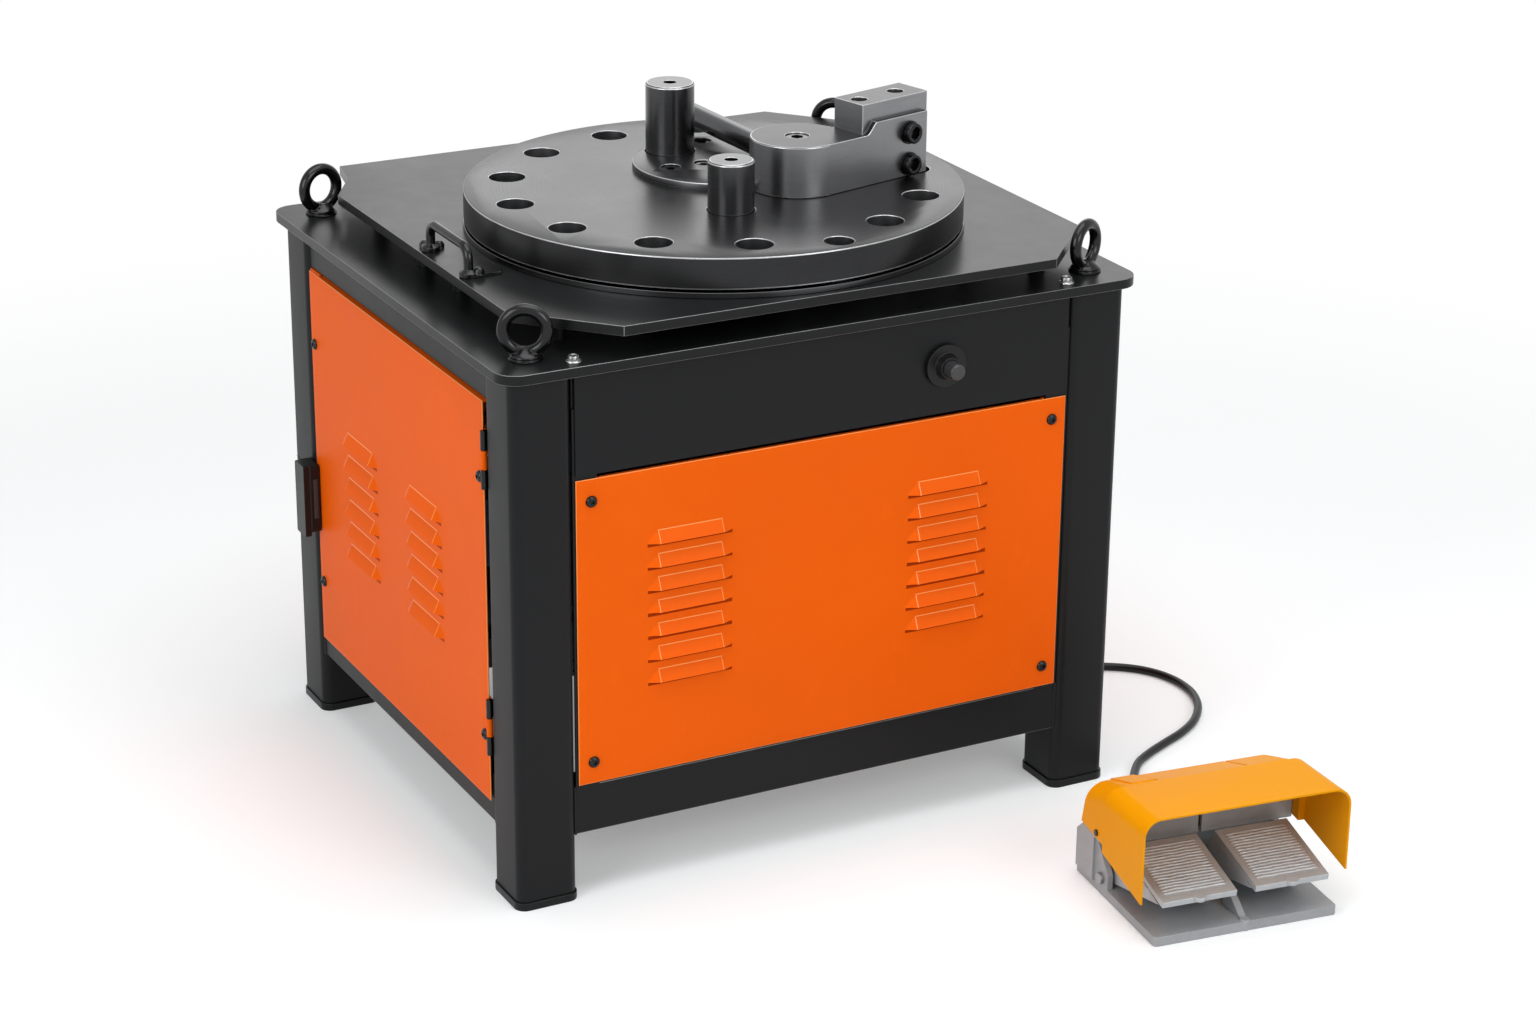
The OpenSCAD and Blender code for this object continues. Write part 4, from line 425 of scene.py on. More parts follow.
def lathed(profile, steps, name, middle=(0, 0, 0), tilt=None):
    # rings of (radius, height), from the bottom outwards and up; a third item of 1 makes a ring six-sided
    shape = bmesh.new()
    rings = []
    for item in profile:
        ring = []
        for k in range(steps):
            angle = math.tau * k / steps
            spread = math.cos(math.pi / 6) / math.cos((angle % (math.pi / 3)) - math.pi / 6) if len(item) > 2 else 1
            radius = item[0] * spread
            ring.append(shape.verts.new((radius * math.cos(angle), radius * math.sin(angle), item[1])))
        rings.append(ring)
    for low, high in zip(rings, rings[1:]):
        for k in range(steps):
            j = (k + 1) % steps
            shape.faces.new((low[k], low[j], high[j], high[k]))
    shape.faces.new(rings[0][::-1])
    shape.faces.new(rings[-1])
    bmesh.ops.scale(shape, verts=shape.verts, vec=(mm, mm, mm))
    if tilt:
        bmesh.ops.transform(shape, verts=shape.verts, matrix=tilt.to_4x4())
    bmesh.ops.translate(shape, verts=shape.verts, vec=Vector(middle) * mm)
    return smoothed(meshOf(shape, name))


merging = {"gap": 0.002 * mm, "flat": 0.6}


def mergedCopy(node, name):
    # the frame's loose triangles, joined up again into whole faces
    shape = bmesh.new()
    shape.from_mesh(nodes[node].data)
    bmesh.ops.remove_doubles(shape, verts=shape.verts, dist=merging["gap"])
    bmesh.ops.dissolve_limit(shape, angle_limit=math.radians(merging["flat"]), verts=shape.verts,
                             edges=shape.edges)
    mesh = meshOf(shape, name)
    for layer in ("custom_normal", "sharp_edge", "sharp_face"):
        if layer in mesh.attributes:
            mesh.attributes.remove(mesh.attributes[layer])
    return mesh


def soften(piece, width, segments=2, edgeFinish=False):
    # edges sharper than 32 degrees are rounded, with the second material on them if asked: a lighter edge colour,
    # partly rubbed wear and partly a painted highlight
    bevel = piece.modifiers.new("edges", "BEVEL")
    bevel.width = width
    bevel.segments = segments
    bevel.limit_method = "ANGLE"
    bevel.angle_limit = math.radians(32)
    bevel.use_clamp_overlap = False
    bevel.harden_normals = True
    bevel.miter_outer = "MITER_ARC"
    if edgeFinish:
        bevel.material = 1
    for face in piece.data.polygons:
        face.use_smooth = True


def camel(node):
    first, *rest = node.split("_")
    return first + "".join(part.capitalize() for part in rest)


def dress(node, width, finish=None, edge=None):
    # a copy of a rigid node with its edges eased as a maker would
    materials = [finish or finishes[slotOf[node]]] + ([edge] if edge else [])
    mesh = mergedCopy(node, camel(node))
    piece = settle(mesh, camel(node), node, *materials, replaced=[node])
    soften(piece, width, edgeFinish=bool(edge))
    return piece


# Geometry trees: named inputs for the sizes, set by their identifiers before the first evaluation
kinds = {float: "NodeSocketFloat", int: "NodeSocketInt", tuple: "NodeSocketVector",
         bpy.types.Object: "NodeSocketObject", bpy.types.Material: "NodeSocketMaterial"}


class Growth(Graph):
    def __init__(self, name, **inputs):
        super().__init__(bpy.data.node_groups.new(name, "GeometryNodeTree"))
        faces = self.tree.interface
        faces.new_socket("carrier", in_out="INPUT", socket_type="NodeSocketGeometry")
        faces.new_socket("grown", in_out="OUTPUT", socket_type="NodeSocketGeometry")
        self.ids = {label: faces.new_socket(label, in_out="INPUT", socket_type=kinds[kind]).identifier
                    for label, kind in inputs.items()}
        self.source = self.tree.nodes.new("NodeGroupInput")
        self.sink = self.tree.nodes.new("NodeGroupOutput")

    def given(self, label):
        return Wire(self, self.source.outputs[label])

    def end(self, geometry):
        plain = self.add("GeometryNodeRealizeInstances", None, {"Geometry": geometry})
        done = self.add("GeometryNodeSetMaterial", None, {"Geometry": plain, "Material": self.given("finish")})
        self.tree.links.new(done.socket, self.sink.inputs[0])
        return self

    def grow(self, carrier, name, **values):
        seed = bpy.data.objects.new(name, carrier)
        bpy.context.scene.collection.objects.link(seed)
        growth = seed.modifiers.new("growth", "NODES")
        growth.node_group = self.tree
        for label, value in values.items():
            growth[self.ids[label]] = value
        bpy.context.view_layer.update()
        mesh = bpy.data.meshes.new_from_object(seed.evaluated_get(bpy.context.evaluated_depsgraph_get()))
        mesh.name = name
        bpy.data.objects.remove(seed)
        return mesh


def scatterTree():
    # one pattern stood on every point of the carrier, along its facing, each turned by chance
    tree = Growth("scatter", pattern=bpy.types.Object, finish=bpy.types.Material, seed=int)
    pattern = tree.add("GeometryNodeObjectInfo", {"transform_space": "ORIGINAL"}, {"Object": tree.given("pattern")},
                       out="Geometry")
    facing = tree.add("GeometryNodeInputNamedAttribute", {"data_type": "FLOAT_VECTOR"}, {"Name": "facing"})
    stood = tree.add("FunctionNodeAlignRotationToVector", {"axis": "Z"}, {"Vector": facing})
    chance = tree.add("FunctionNodeRandomValue", {"data_type": "FLOAT"}, {3: math.tau, "Seed": tree.given("seed")},
                      out=1)
    turn = tree.add("FunctionNodeAxisAngleToRotation", None, {"Axis": (0, 0, 1), "Angle": chance})
    turned = tree.add("FunctionNodeRotateRotation", {"rotation_space": "LOCAL"}, {"Rotation": stood, "Rotate By": turn})
    return tree.end(tree.add("GeometryNodeInstanceOnPoints", None, {
        "Points": tree.given("carrier"), "Instance": pattern, "Rotation": turned}))


def drillTree():
    # a blank with a ring of tool holes, and a bore at each of the carrier's points
    tree = Growth("drill", blank=bpy.types.Object, finish=bpy.types.Material, holes=int, circle=float,
                  holeRadius=float, depth=float, first=float, step=float, middle=tuple)
    blank = tree.add("GeometryNodeObjectInfo", {"transform_space": "ORIGINAL"}, {"Object": tree.given("blank")},
                     out="Geometry")
    angle = tree.given("first") + tree.add("GeometryNodeInputIndex") * tree.given("step")
    spot = tree.add("ShaderNodeCombineXYZ", None, {"X": angle.cosine() * tree.given("circle"),
                                                   "Y": angle.sine() * tree.given("circle")})
    spot = tree.add("ShaderNodeVectorMath", {"operation": "ADD"}, {0: spot, 1: tree.given("middle")})
    ring = tree.add("GeometryNodePoints", None, {"Count": tree.given("holes"), "Position": spot})
    drill = tree.add("GeometryNodeMeshCylinder", {"fill_type": "NGON"}, {"Vertices": 64, "Radius": 1.0, "Depth": 1.0},
                     out="Mesh")
    bit = tree.add("ShaderNodeCombineXYZ", None, {"X": tree.given("holeRadius"), "Y": tree.given("holeRadius"),
                                                  "Z": tree.given("depth")})
    bore = tree.add("GeometryNodeInputNamedAttribute", {"data_type": "FLOAT_VECTOR"}, {"Name": "bore"})
    tools = [tree.add("GeometryNodeInstanceOnPoints", None, {"Points": ring, "Instance": drill, "Scale": bit}),
             tree.add("GeometryNodeInstanceOnPoints", None, {"Points": tree.given("carrier"), "Instance": drill,
                                                             "Scale": bore})]
    cuts = tree.add("GeometryNodeRealizeInstances", None, {"Geometry": tree.add(
        "GeometryNodeJoinGeometry", None, {"Geometry": tools})})
    return tree.end(tree.add("GeometryNodeMeshBoolean", {"operation": "DIFFERENCE", "solver": "EXACT"}, {
        "Mesh 1": blank, "Mesh 2": [cuts]}))


ribbing = {"across": 56, "along": 190, "thick": 0.4, "sway": 75.0, "wear": 260.0, "fade": 400}


def treadTree():
    # a thin pad whose top has wavy cast ribs across it, dying out towards its borders
    tree = Growth("treadRibs", finish=bpy.types.Material, width=float, length=float, pitch=float, height=float,
                  wave=float, seed=float)
    width, length = tree.given("width"), tree.given("length")
    sheet = tree.add("GeometryNodeMeshGrid", None, {
        "Size X": width, "Size Y": length, "Vertices X": ribbing["across"], "Vertices Y": ribbing["along"]}, out="Mesh")
    raised = tree.add("GeometryNodeExtrudeMesh", {"mode": "FACES"}, {
        "Mesh": sheet, "Offset": (0, 0, 1), "Offset Scale": ribbing["thick"] * mm, "Individual": False}, out="Mesh")
    under = tree.add("GeometryNodeFlipFaces", None, {"Mesh": sheet})
    pad = tree.add("GeometryNodeMergeByDistance", None, {"Geometry": tree.add(
        "GeometryNodeJoinGeometry", None, {"Geometry": [raised, under]}), "Distance": 0.001 * mm})
    spot = tree.add("GeometryNodeInputPosition")
    x, y, z = (tree.add("ShaderNodeSeparateXYZ", None, {"Vector": spot}, out=k) for k in "XYZ")
    sway = tree.add("ShaderNodeTexNoise", {"noise_dimensions": "4D"}, {
        "Vector": spot, "W": tree.given("seed"), "Scale": ribbing["sway"], "Detail": 2.0}, out=0)
    wear = tree.add("ShaderNodeTexNoise", {"noise_dimensions": "4D"}, {
        "Vector": spot, "W": tree.given("seed") + 4, "Scale": ribbing["wear"], "Detail": 2.0}, out=0)
    phase = (y + (sway - 0.5) * tree.given("wave")) / tree.given("pitch") * math.tau
    border = (((width * 0.5 - x.size()) * ribbing["fade"]).least(1)
              * ((length * 0.5 - y.size()) * ribbing["fade"]).least(1))
    upper = z > ribbing["thick"] / 2 * mm
    lift = (phase.cosine() * 0.5 + 0.5) * (wear * 0.9 + 0.5) * border * upper * tree.given("height")
    moved = tree.add("GeometryNodeSetPosition", None, {"Geometry": pad, "Offset": tree.add(
        "ShaderNodeCombineXYZ", None, {"Z": lift})})
    return tree.end(moved)


scatter, drill, ribs = scatterTree(), drillTree(), treadTree()


def points(places, name, label):
    # a carrier of loose points, each with a vector of its own
    mesh = bpy.data.meshes.new(name)
    mesh.from_pydata([Vector(spot) * mm for spot, _ in places], [], [])
    layer = mesh.attributes.new(label, "FLOAT_VECTOR", "POINT")
    layer.data.foreach_set("vector", [part for _, vector in places for part in vector])
    return mesh


def helper(mesh):
    # an object for a geometry tree to read, removed once it has
    shown = bpy.data.objects.new(mesh.name, mesh)
    bpy.context.scene.collection.objects.link(shown)
    return shown


# Screws and bolts: a turned pattern stood at every place of its kind, in millimetres
patterns = {
    "domeScrew": [(3.9, -8), (3.9, 0), (6.6, 0), (7, 0.4), (7, 1), (6.6, 2), (5.9, 2.9), (5, 3.6), (4, 3.95),
                  (3.3, 4), (2.8, 3.7, 1), (2.8, 1.6, 1), (1, 1.4)],
    "flangeBolt": [(5, -11), (5, 0), (8.8, 0), (9, 0.3), (8.8, 1), (7.4, 1.7), (6.7, 1.8, 1), (6.7, 6, 1), (5.9, 6.8),
                   (4.2, 7), (3.9, 6.6)],
    "hubScrew": [(5.9, -11.8), (5.9, 0), (11.2, 0), (11.6, 0.4), (11.6, 5.3), (10.9, 6), (6.1, 6), (5.4, 5.5, 1),
                 (5.4, 1, 1)],
    "capScrew": [(7.9, -31), (7.9, 0), (14.3, 0), (14.5, 0.2), (14.5, 1.7), (14.2, 2), (12.5, 2), (12.5, 9.9),
                 (12.1, 10.6), (11.3, 11), (8.8, 11), (8, 10.3, 1), (8, 4.4, 1)],
    "capNut": [(4, -1), (4, 0), (6.6, 0), (6.6, 0.6, 1), (6.6, 4.2, 1), (5.6, 5), (4.9, 6.6), (3.4, 8), (1.2, 8.6)],
    "weldBead": [(1.2, -1.4), (2.2, -0.4), (2.3, 0.2), (1.6, 1), (0.6, 1.3)]}
up = (0, 0, 1)
armAngle = math.radians(armTurn)
armMiddle = (84, -105, 748.3)


def armSpot(along, side, height):
    return (armMiddle[0] + along * math.cos(armAngle) - side * math.sin(armAngle),
            armMiddle[1] + along * math.sin(armAngle) + side * math.cos(armAngle), armMiddle[2] + height)


welds = {"beads": 26, "lowest": 83.5, "step": 2.3, "front": (325.4, 343.2), "side": (395.2, 273.4), "lean": 1.6,
         "rise": 0.5}


def weldPlaces():
    # beads up both sides of each lower rail's ends, where it meets a leg
    places = []
    for x, y in ((-1, -1), (1, -1), (1, 1), (-1, 1)):
        for k in range(welds["beads"]):
            z = welds["lowest"] + k * welds["step"]
            places.append(((x * welds["front"][0], y * welds["front"][1], z), (-x, y * welds["lean"], welds["rise"])))
            places.append(((x * welds["side"][0], y * welds["side"][1], z), (x * welds["lean"], -y, welds["rise"])))
    return places


# The hub plate's screws and the plate's own middle, both from the disc's middle
hubScrewSpots = [(-27, 62), (17, 61), (112, 104), (60, 152)]
hubOffset = (42, 64)
discPlace = (0, -52, 748)


screwPlans = [
    {"name": "panelScrews", "pattern": "domeScrew", "replaced": ["panel_screws"], "places":
        [((x * 303, -347, z), (0, -1, 0)) for x in (-1, 1) for z in (172, 494)]
        + [((x * 303, 347, z), (0, 1, 0)) for x in (-1, 1) for z in (172, 576)]
        + [((399, y * 251, z), (1, 0, 0)) for y in (-1, 1) for z in (190, 510)]},
    {"name": "doorScrews", "pattern": "domeScrew", "replaced": ["door_screws"], "places":
        [((-399, y, z), (-1, 0, 0)) for y in (-257, 258) for z in (190, 510)]},
    {"name": "tableBolts", "pattern": "flangeBolt", "replaced": ["plate_bolts"], "finish": zincFinish, "places":
        [((x * 320, y * 341, 661), up) for x in (-1, 1) for y in (-1, 1)]},
    {"name": "hubScrews", "pattern": "hubScrew", "replaced": ["hub_screws"], "places":
        [((x + discPlace[0], y + discPlace[1], discPlace[2]), up) for x, y in hubScrewSpots]},
    {"name": "clampScrews", "pattern": "capScrew", "replaced": ["clamp_screws"], "places":
        [(armSpot(132, -56.5, z), (math.sin(armAngle), -math.cos(armAngle), 0)) for z in (15, 54)]},
    {"name": "handleNuts", "pattern": "capNut", "like": "grab_handle", "places":
        [((-351, 6, 700), up), ((-337, -3, 700), up), ((-340, -129, 703.6), up)]},
    {"name": "weldBeads", "pattern": "weldBead", "like": "legs", "places": weldPlaces(), "steps": 10}]
for plan in screwPlans:
    node = plan.get("like") or plan["replaced"][0]
    shown = helper(lathed(patterns[plan["pattern"]], plan.get("steps", 24), plan["pattern"]))
    grown = scatter.grow(points(plan["places"], plan["name"], "facing"), plan["name"], pattern=shown,
                         finish=plan.get("finish") or finishes[slotOf[node]], seed=7)
    bpy.data.objects.remove(shown)
    settle(smoothed(grown), plan["name"], node, replaced=plan.get("replaced", ()))
print("screws, bolts and welds placed")

# The bending disc and the hub plate on it, drilled from turned blanks
plates = {
    "bendingDisc": {"node": "bending_disc", "finish": discSteel, "middle": discPlace, "steps": 192, "wide": 0.9,
                    "profile": [(299, -38), (300, -37), (300, -1), (299.2, -0.2), (298.6, 0)],
                    "holes": 13, "circle": 250.0, "holeRadius": 22.0, "first": 295.7, "step": 26.5,
                    "bores": [(5, 129, 20, 34.3), (-32, -107, 20, 34.3), (-32, -107, 28.7, 4), (84, -53, 12.02, 19),
                              (22.29, -271.09, 17.5, 42)] + [(x, y, 6, 12) for x, y in hubScrewSpots]},
    "hubPlate": {"node": "hub_plate", "finish": hubSteel, "middle": (42, 12, 756), "steps": 128, "wide": 0.6,
                 "profile": [(108, -8), (108, -1), (107.6, -0.3), (107, 0)],
                 "holes": 0, "circle": 1.0, "holeRadius": 1.0, "first": 0.0, "step": 0.0,
                 "bores": [(-37, 65, 31.2, 12), (42, -117, 58, 12)]
                          + [(x - hubOffset[0], y - hubOffset[1], 12, 12) for x, y in hubScrewSpots]}}
for name, plan in plates.items():
    x, y, z = plan["middle"]
    blank = helper(lathed(plan["profile"], plan["steps"], name + "Blank", plan["middle"]))
    bores = [((x + bx, y + by, z + 1 - (depth + 1) / 2), (radius * mm, radius * mm, (depth + 1) * mm))
             for bx, by, radius, depth in plan["bores"]]
    drilled = drill.grow(points(bores, name, "bore"), name, blank=blank, finish=plan["finish"], holes=plan["holes"],
                         circle=plan["circle"] * mm, holeRadius=plan["holeRadius"] * mm, depth=90 * mm,
                         first=math.radians(plan["first"]), step=math.radians(plan["step"]),
                         middle=tuple(Vector(plan["middle"]) * mm))
    bpy.data.objects.remove(blank)
    node = plan["node"]
    # the rims' eased edges take the lighter edge colour, rubbed wear and a painted highlight
    soften(settle(drilled, name, node, plan["finish"], edgeShine, replaced=[node]), plan["wide"] * mm,
           edgeFinish=True)
print("disc and hub plate drilled")


# Pressed panels: one sheet each, its louvres drawn out of it and slit along their lower edges
louvre = {"wide": 112, "face": 81, "high": 15, "out": 7, "ease": 0.07, "endEase": 0.12, "shade": 4.4, "thick": 2}
panels = {
    "frontPanel": {"node": "front_panel", "out": (0, -1, 0), "along": (1, 0, 0), "stand": 347, "span": (-322, 322),
                   "rise": (145, 521), "columns": (-179, 162), "rows": 7, "top": 430, "pitch": 28.7},
    "backPanel": {"node": "back_panel", "out": (0, 1, 0), "along": (-1, 0, 0), "stand": 347, "span": (-322, 322),
                  "rise": (145, 603), "columns": (-179, 162), "rows": 7, "top": 430, "pitch": 28.7},
    "rightPanel": {"node": "right_panel", "out": (1, 0, 0), "along": (0, 1, 0), "stand": 399, "span": (-270, 270),
                   "rise": (108, 603), "columns": (-84, 116), "rows": 6, "top": 410.9, "pitch": 29.5},
    "doorSheet": {"node": "side_door", "out": (-1, 0, 0), "along": (0, -1, 0), "stand": 399, "span": (-270, 267),
                  "rise": (108, 603), "columns": (-116, 84), "rows": 6, "top": 410.9, "pitch": 29.5}}
edgeRound = 0.8
edgeMarks = (0, 0.08, 0.25, 0.5, 0.8)
grid = {"coarse": 12, "louvreEnd": 1.6, "mouth": 1.3, "inside": 3, "faceEdge": (-0.5, 0.5), "topBend": (-0.7, 0.5, 1.3)}
# half-widths of the painted highlight bands along a louvre's bends
bendHighlight = {"top": 0.6, "topShift": 0.1, "side": 0.5}


def easedOut(x, k):
    return 0 if x <= -k else x if x >= k else (x + k) ** 2 / (4 * k)


def marksBetween(stops, finest):
    # sorted stops with even lines in between, none further apart than asked
    stops = sorted(set(round(s, 3) for s in stops))
    lines = []
    for a, b in zip(stops, stops[1:]):
        count = max(1, math.ceil((b - a) / finest(a, b)))
        lines += [a + (b - a) * k / count for k in range(count)]
    return lines + [stops[-1]]


def drawnOut(u, v, plan):
    # how far the sheet stands out at u, v, and 0 away from every louvre
    for column in plan["columns"]:
        side = (abs(u - column) - louvre["face"] / 2) / ((louvre["wide"] - louvre["face"]) / 2)
        if side < 1.2:
            for row in range(plan["rows"]):
                s = (v - plan["top"] + row * plan["pitch"]) / louvre["high"]
                if 0 <= s < 1.2:
                    return louvre["out"] * easedOut(1 - s - easedOut(side, louvre["endEase"]), louvre["ease"])
    return 0


def paintedHighlightOrShade(u, v, plan):
    # 1 on the bends of a louvre and the folded border, painted lighter as a painted highlight; 2 in a band under a
    # louvre's mouth, painted darker as painted shade; 0 elsewhere
    low, high = plan["span"]
    if min(u - low, high - u, v - plan["rise"][0], plan["rise"][1] - v) < edgeRound:
        return 1
    x = min(abs(u - column) for column in plan["columns"])
    for row in range(plan["rows"]):
        rise = v - plan["top"] + row * plan["pitch"]
        if -louvre["shade"] < rise < 0 and x < louvre["wide"] / 2 - 2:
            return 2
        if abs(rise - louvre["high"] + bendHighlight["topShift"]) < bendHighlight["top"] and x < louvre["face"] / 2 + bendHighlight["side"]:
            return 1
        if 0 < rise < louvre["high"] and abs(x - louvre["face"] / 2) < bendHighlight["side"]:
            return 1
    return 0


def pressPanel(name, plan):
    low, high = plan["span"]
    bottom, top = plan["rise"]
    reach = louvre["wide"] / 2 + louvre["ease"] * (louvre["wide"] - louvre["face"]) / 2
    ends = [c + side * r for c in plan["columns"] for side in (-1, 1)
            for r in (reach, louvre["face"] / 2 - grid["inside"])]
    mouths = [plan["top"] - k * plan["pitch"] for k in range(plan["rows"])]
    ends += [c + side * (louvre["face"] / 2 + r) for c in plan["columns"] for side in (-1, 1)
             for r in grid["faceEdge"]]
    across = marksBetween([low + m for m in edgeMarks] + [high - m for m in edgeMarks] + ends,
                          lambda a, b: grid["louvreEnd"] if 2 < b - a < 20 else grid["coarse"])
    upright = marksBetween([bottom + m for m in edgeMarks] + [top - m for m in edgeMarks] + mouths
                           + [m + louvre["high"] + r for m in mouths for r in grid["topBend"]]
                           + [m - louvre["shade"] for m in mouths],
                           lambda a, b: grid["mouth"] if any(abs(a - m) < 0.01 for m in mouths) else grid["coarse"])
    out, along = Vector(plan["out"]), Vector(plan["along"])
    shape = bmesh.new()
    made = {}

    def corner(i, j, above):
        u, v = across[i], upright[j]
        slit = any(abs(v - m) < 0.01 for m in mouths) and any(
            abs(u - c) < reach - 0.01 for c in plan["columns"])
        key = (i, j, above and slit)
        if key not in made:
            stand = 0 if slit and not above else drawnOut(u, v, plan)
            inside = min(u - low, high - u, v - bottom, top - v)
            if inside < edgeRound:
                stand -= edgeRound - math.sqrt(edgeRound ** 2 - (edgeRound - inside) ** 2)
            made[key] = shape.verts.new((along * u + out * (plan["stand"] + stand) + Vector((0, 0, v))) * mm)
        return made[key]

    for j in range(len(upright) - 1):
        for i in range(len(across) - 1):
            face = shape.faces.new((corner(i, j, True), corner(i + 1, j, True), corner(i + 1, j + 1, False),
                                    corner(i, j + 1, False)))
            # each face's material: 1 for the painted highlight on the bends, 2 for the painted shade under the mouths
            face.material_index = paintedHighlightOrShade((across[i] + across[i + 1]) / 2, (upright[j] + upright[j + 1]) / 2, plan)
    thick = [("SOLIDIFY", {"thickness": louvre["thick"] * mm, "offset": -1, "use_even_offset": True})]
    sheet = smoothed(baked(meshOf(shape, name), name, thick), 40)
    node = plan["node"]
    chosen = [face.material_index for face in sheet.polygons]
    settle(sheet, name, node, finishes["orange_paint"], orangeBend, orangeShade, replaced=[node])
    # settling puts every face back on the first material
    sheet.polygons.foreach_set("material_index", chosen)
    print(name, "pressed,", len(sheet.polygons), "faces")


for name, plan in panels.items():
    pressPanel(name, plan)


def addSlab(shape, low, high):
    made = bmesh.ops.create_cube(shape, size=1)["verts"]
    for vert in made:
        vert.co = Vector([(a + b) / 2 + c * (b - a) for a, b, c in zip(low, high, vert.co)]) * mm


def addTube(shape, middle, low, high, inner, outer):
    steps = 32
    rings = [[shape.verts.new(((middle[0] + r * math.cos(math.tau * k / steps)) * mm,
                               (middle[1] + r * math.sin(math.tau * k / steps)) * mm, z * mm))
              for k in range(steps)] for r, z in ((outer, low), (outer, high), (inner, high), (inner, low))]
    for ring, after in zip(rings, rings[1:] + rings[:1]):
        for k in range(steps):
            j = (k + 1) % steps
            shape.faces.new((ring[k], ring[j], after[j], after[k]))


# The door's stiffening strip and its halves of the hinges: leaf, web and knuckle
fittings = {"strip": ((-397, 240, 145), (-394, 270, 605.7)), "hinges": (170, 500),
            "leaf": ((-397, -268, 0), (-395, -246, 70)), "web": ((-399.6, -269.6, 23.9), (-395, -266, 46.1)),
            "pin": (-400, -272), "knuckle": (23.7, 46.3, 2.05, 4)}


def makeDoorFittings():
    shape = bmesh.new()
    addSlab(shape, *fittings["strip"])
    low, high, inner, outer = fittings["knuckle"]
    for z in fittings["hinges"]:
        for part in ("leaf", "web"):
            addSlab(shape, *((x, y, z + rise) for x, y, rise in fittings[part]))
        addTube(shape, fittings["pin"], z + low, z + high, inner, outer)
    soften(settle(meshOf(shape, "doorFittings"), "doorFittings", "side_door", finishes["orange_paint"]), 0.3 * mm)


makeDoorFittings()
print("door fitted")

# Folded returns along the top edges of the panels and the door, which close the gaps to the inside
returns = {"frontPanelFold": ("front_panel", [((-293, -345.2, 518.9), (293, -331, 520.9)),
                                              ((-321, -341.9, 518.9), (321, -331, 520.9))]),
           "backPanelFold": ("back_panel", [((-293, 331, 600.9), (293, 345.2, 602.9)),
                                            ((-321, 331, 600.9), (321, 341.9, 602.9))]),
           "rightPanelFold": ("right_panel", [((383, -238, 600.9), (397.2, 238, 602.9)),
                                              ((383, -269, 600.9), (393.9, 269, 602.9))]),
           "doorFold": ("side_door", [((-397.2, -266, 600.9), (-385, 269, 602.9))])}
for name, (node, slabs) in returns.items():
    shape = bmesh.new()
    for low, high in slabs:
        addSlab(shape, low, high)
    soften(settle(meshOf(shape, name), name, node, finishes["orange_paint"]), 0.4 * mm)

# Treads: the casting's top planed flat, then ribbed, with a half-round boss at the front edge
tread = {"front": (4, 53), "slope": 12, "wide": 81, "long": 88, "first": 56, "pitch": 5.1, "height": 1.3,
         "wave": 3.6, "planed": 0.02, "sunk": 0.1, "bossFrom": 3,
         "boss": [(7.4, -5), (8, -4.4), (8, 0.1), (7.4, 0.6), (5, 0.7)]}
footSwitch = {"place": (326.6, -765.6, 0), "turn": -7}
footPlace = Matrix.Translation(Vector(footSwitch["place"]) * mm) @ Matrix.Rotation(
    math.radians(footSwitch["turn"]), 4, "Z")


def makeTread(node, x, seed):
    name = camel(node)
    plane = footPlace @ Matrix.Translation(Vector((x, *tread["front"])) * mm) @ Matrix.Rotation(
        math.radians(tread["slope"]), 4, "X")
    level = plane.to_3x3() @ Vector((0, 0, 1))
    shape = bmesh.new()
    shape.from_mesh(mergedCopy(node, name))
    bmesh.ops.bisect_plane(shape, geom=shape.verts[:] + shape.edges[:] + shape.faces[:], dist=1e-6,
                           plane_co=plane @ Vector((0, 0, -tread["planed"] * mm)), plane_no=level,
                           clear_outer=True)
    bmesh.ops.holes_fill(shape, edges=[e for e in shape.edges if e.is_boundary], sides=0)
    casting = meshOf(shape, name)
    piece = settle(casting, name, node, treadCastWornAndLit, replaced=[node])
    soften(piece, 0.8 * mm, segments=3)
    pad = ribs.grow(bpy.data.meshes.new("pad"), name + "Ribs", finish=treadCastWornAndLit, width=tread["wide"] * mm,
                    length=tread["long"] * mm, pitch=tread["pitch"] * mm, height=tread["height"] * mm,
                    wave=tread["wave"] * mm, seed=seed)
    pad.transform(plane @ Matrix.Translation(Vector((0, tread["first"], -tread["sunk"])) * mm))
    settle(smoothed(pad, 60), name + "Ribs", node)
    boss = lathed(tread["boss"], 48, name + "Boss")
    boss.transform(plane @ Matrix.Translation(Vector((0, tread["bossFrom"], 0)) * mm))
    settle(boss, name + "Boss", node, treadCastWornAndLit)


makeTread("left_pedal", -59.5, 1.0)
makeTread("right_pedal", 59.5, 6.0)
print("treads ribbed")

# Push button: a domed grey cap on its stem
button = {"profile": [(10, -42), (10, -3), (9.7, -1.6), (8.9, -0.5), (7.6, 0), (5, -0.4), (2, -0.6)],
          "place": (152, -380, 586), "tilt": Matrix.Rotation(math.radians(90), 3, "X")}
settle(lathed(button["profile"], 48, "pushButton", button["place"], button["tilt"]), "pushButton",
       "push_button", finishes["grey_plastic"], replaced=["push_button"])
print("button turned")

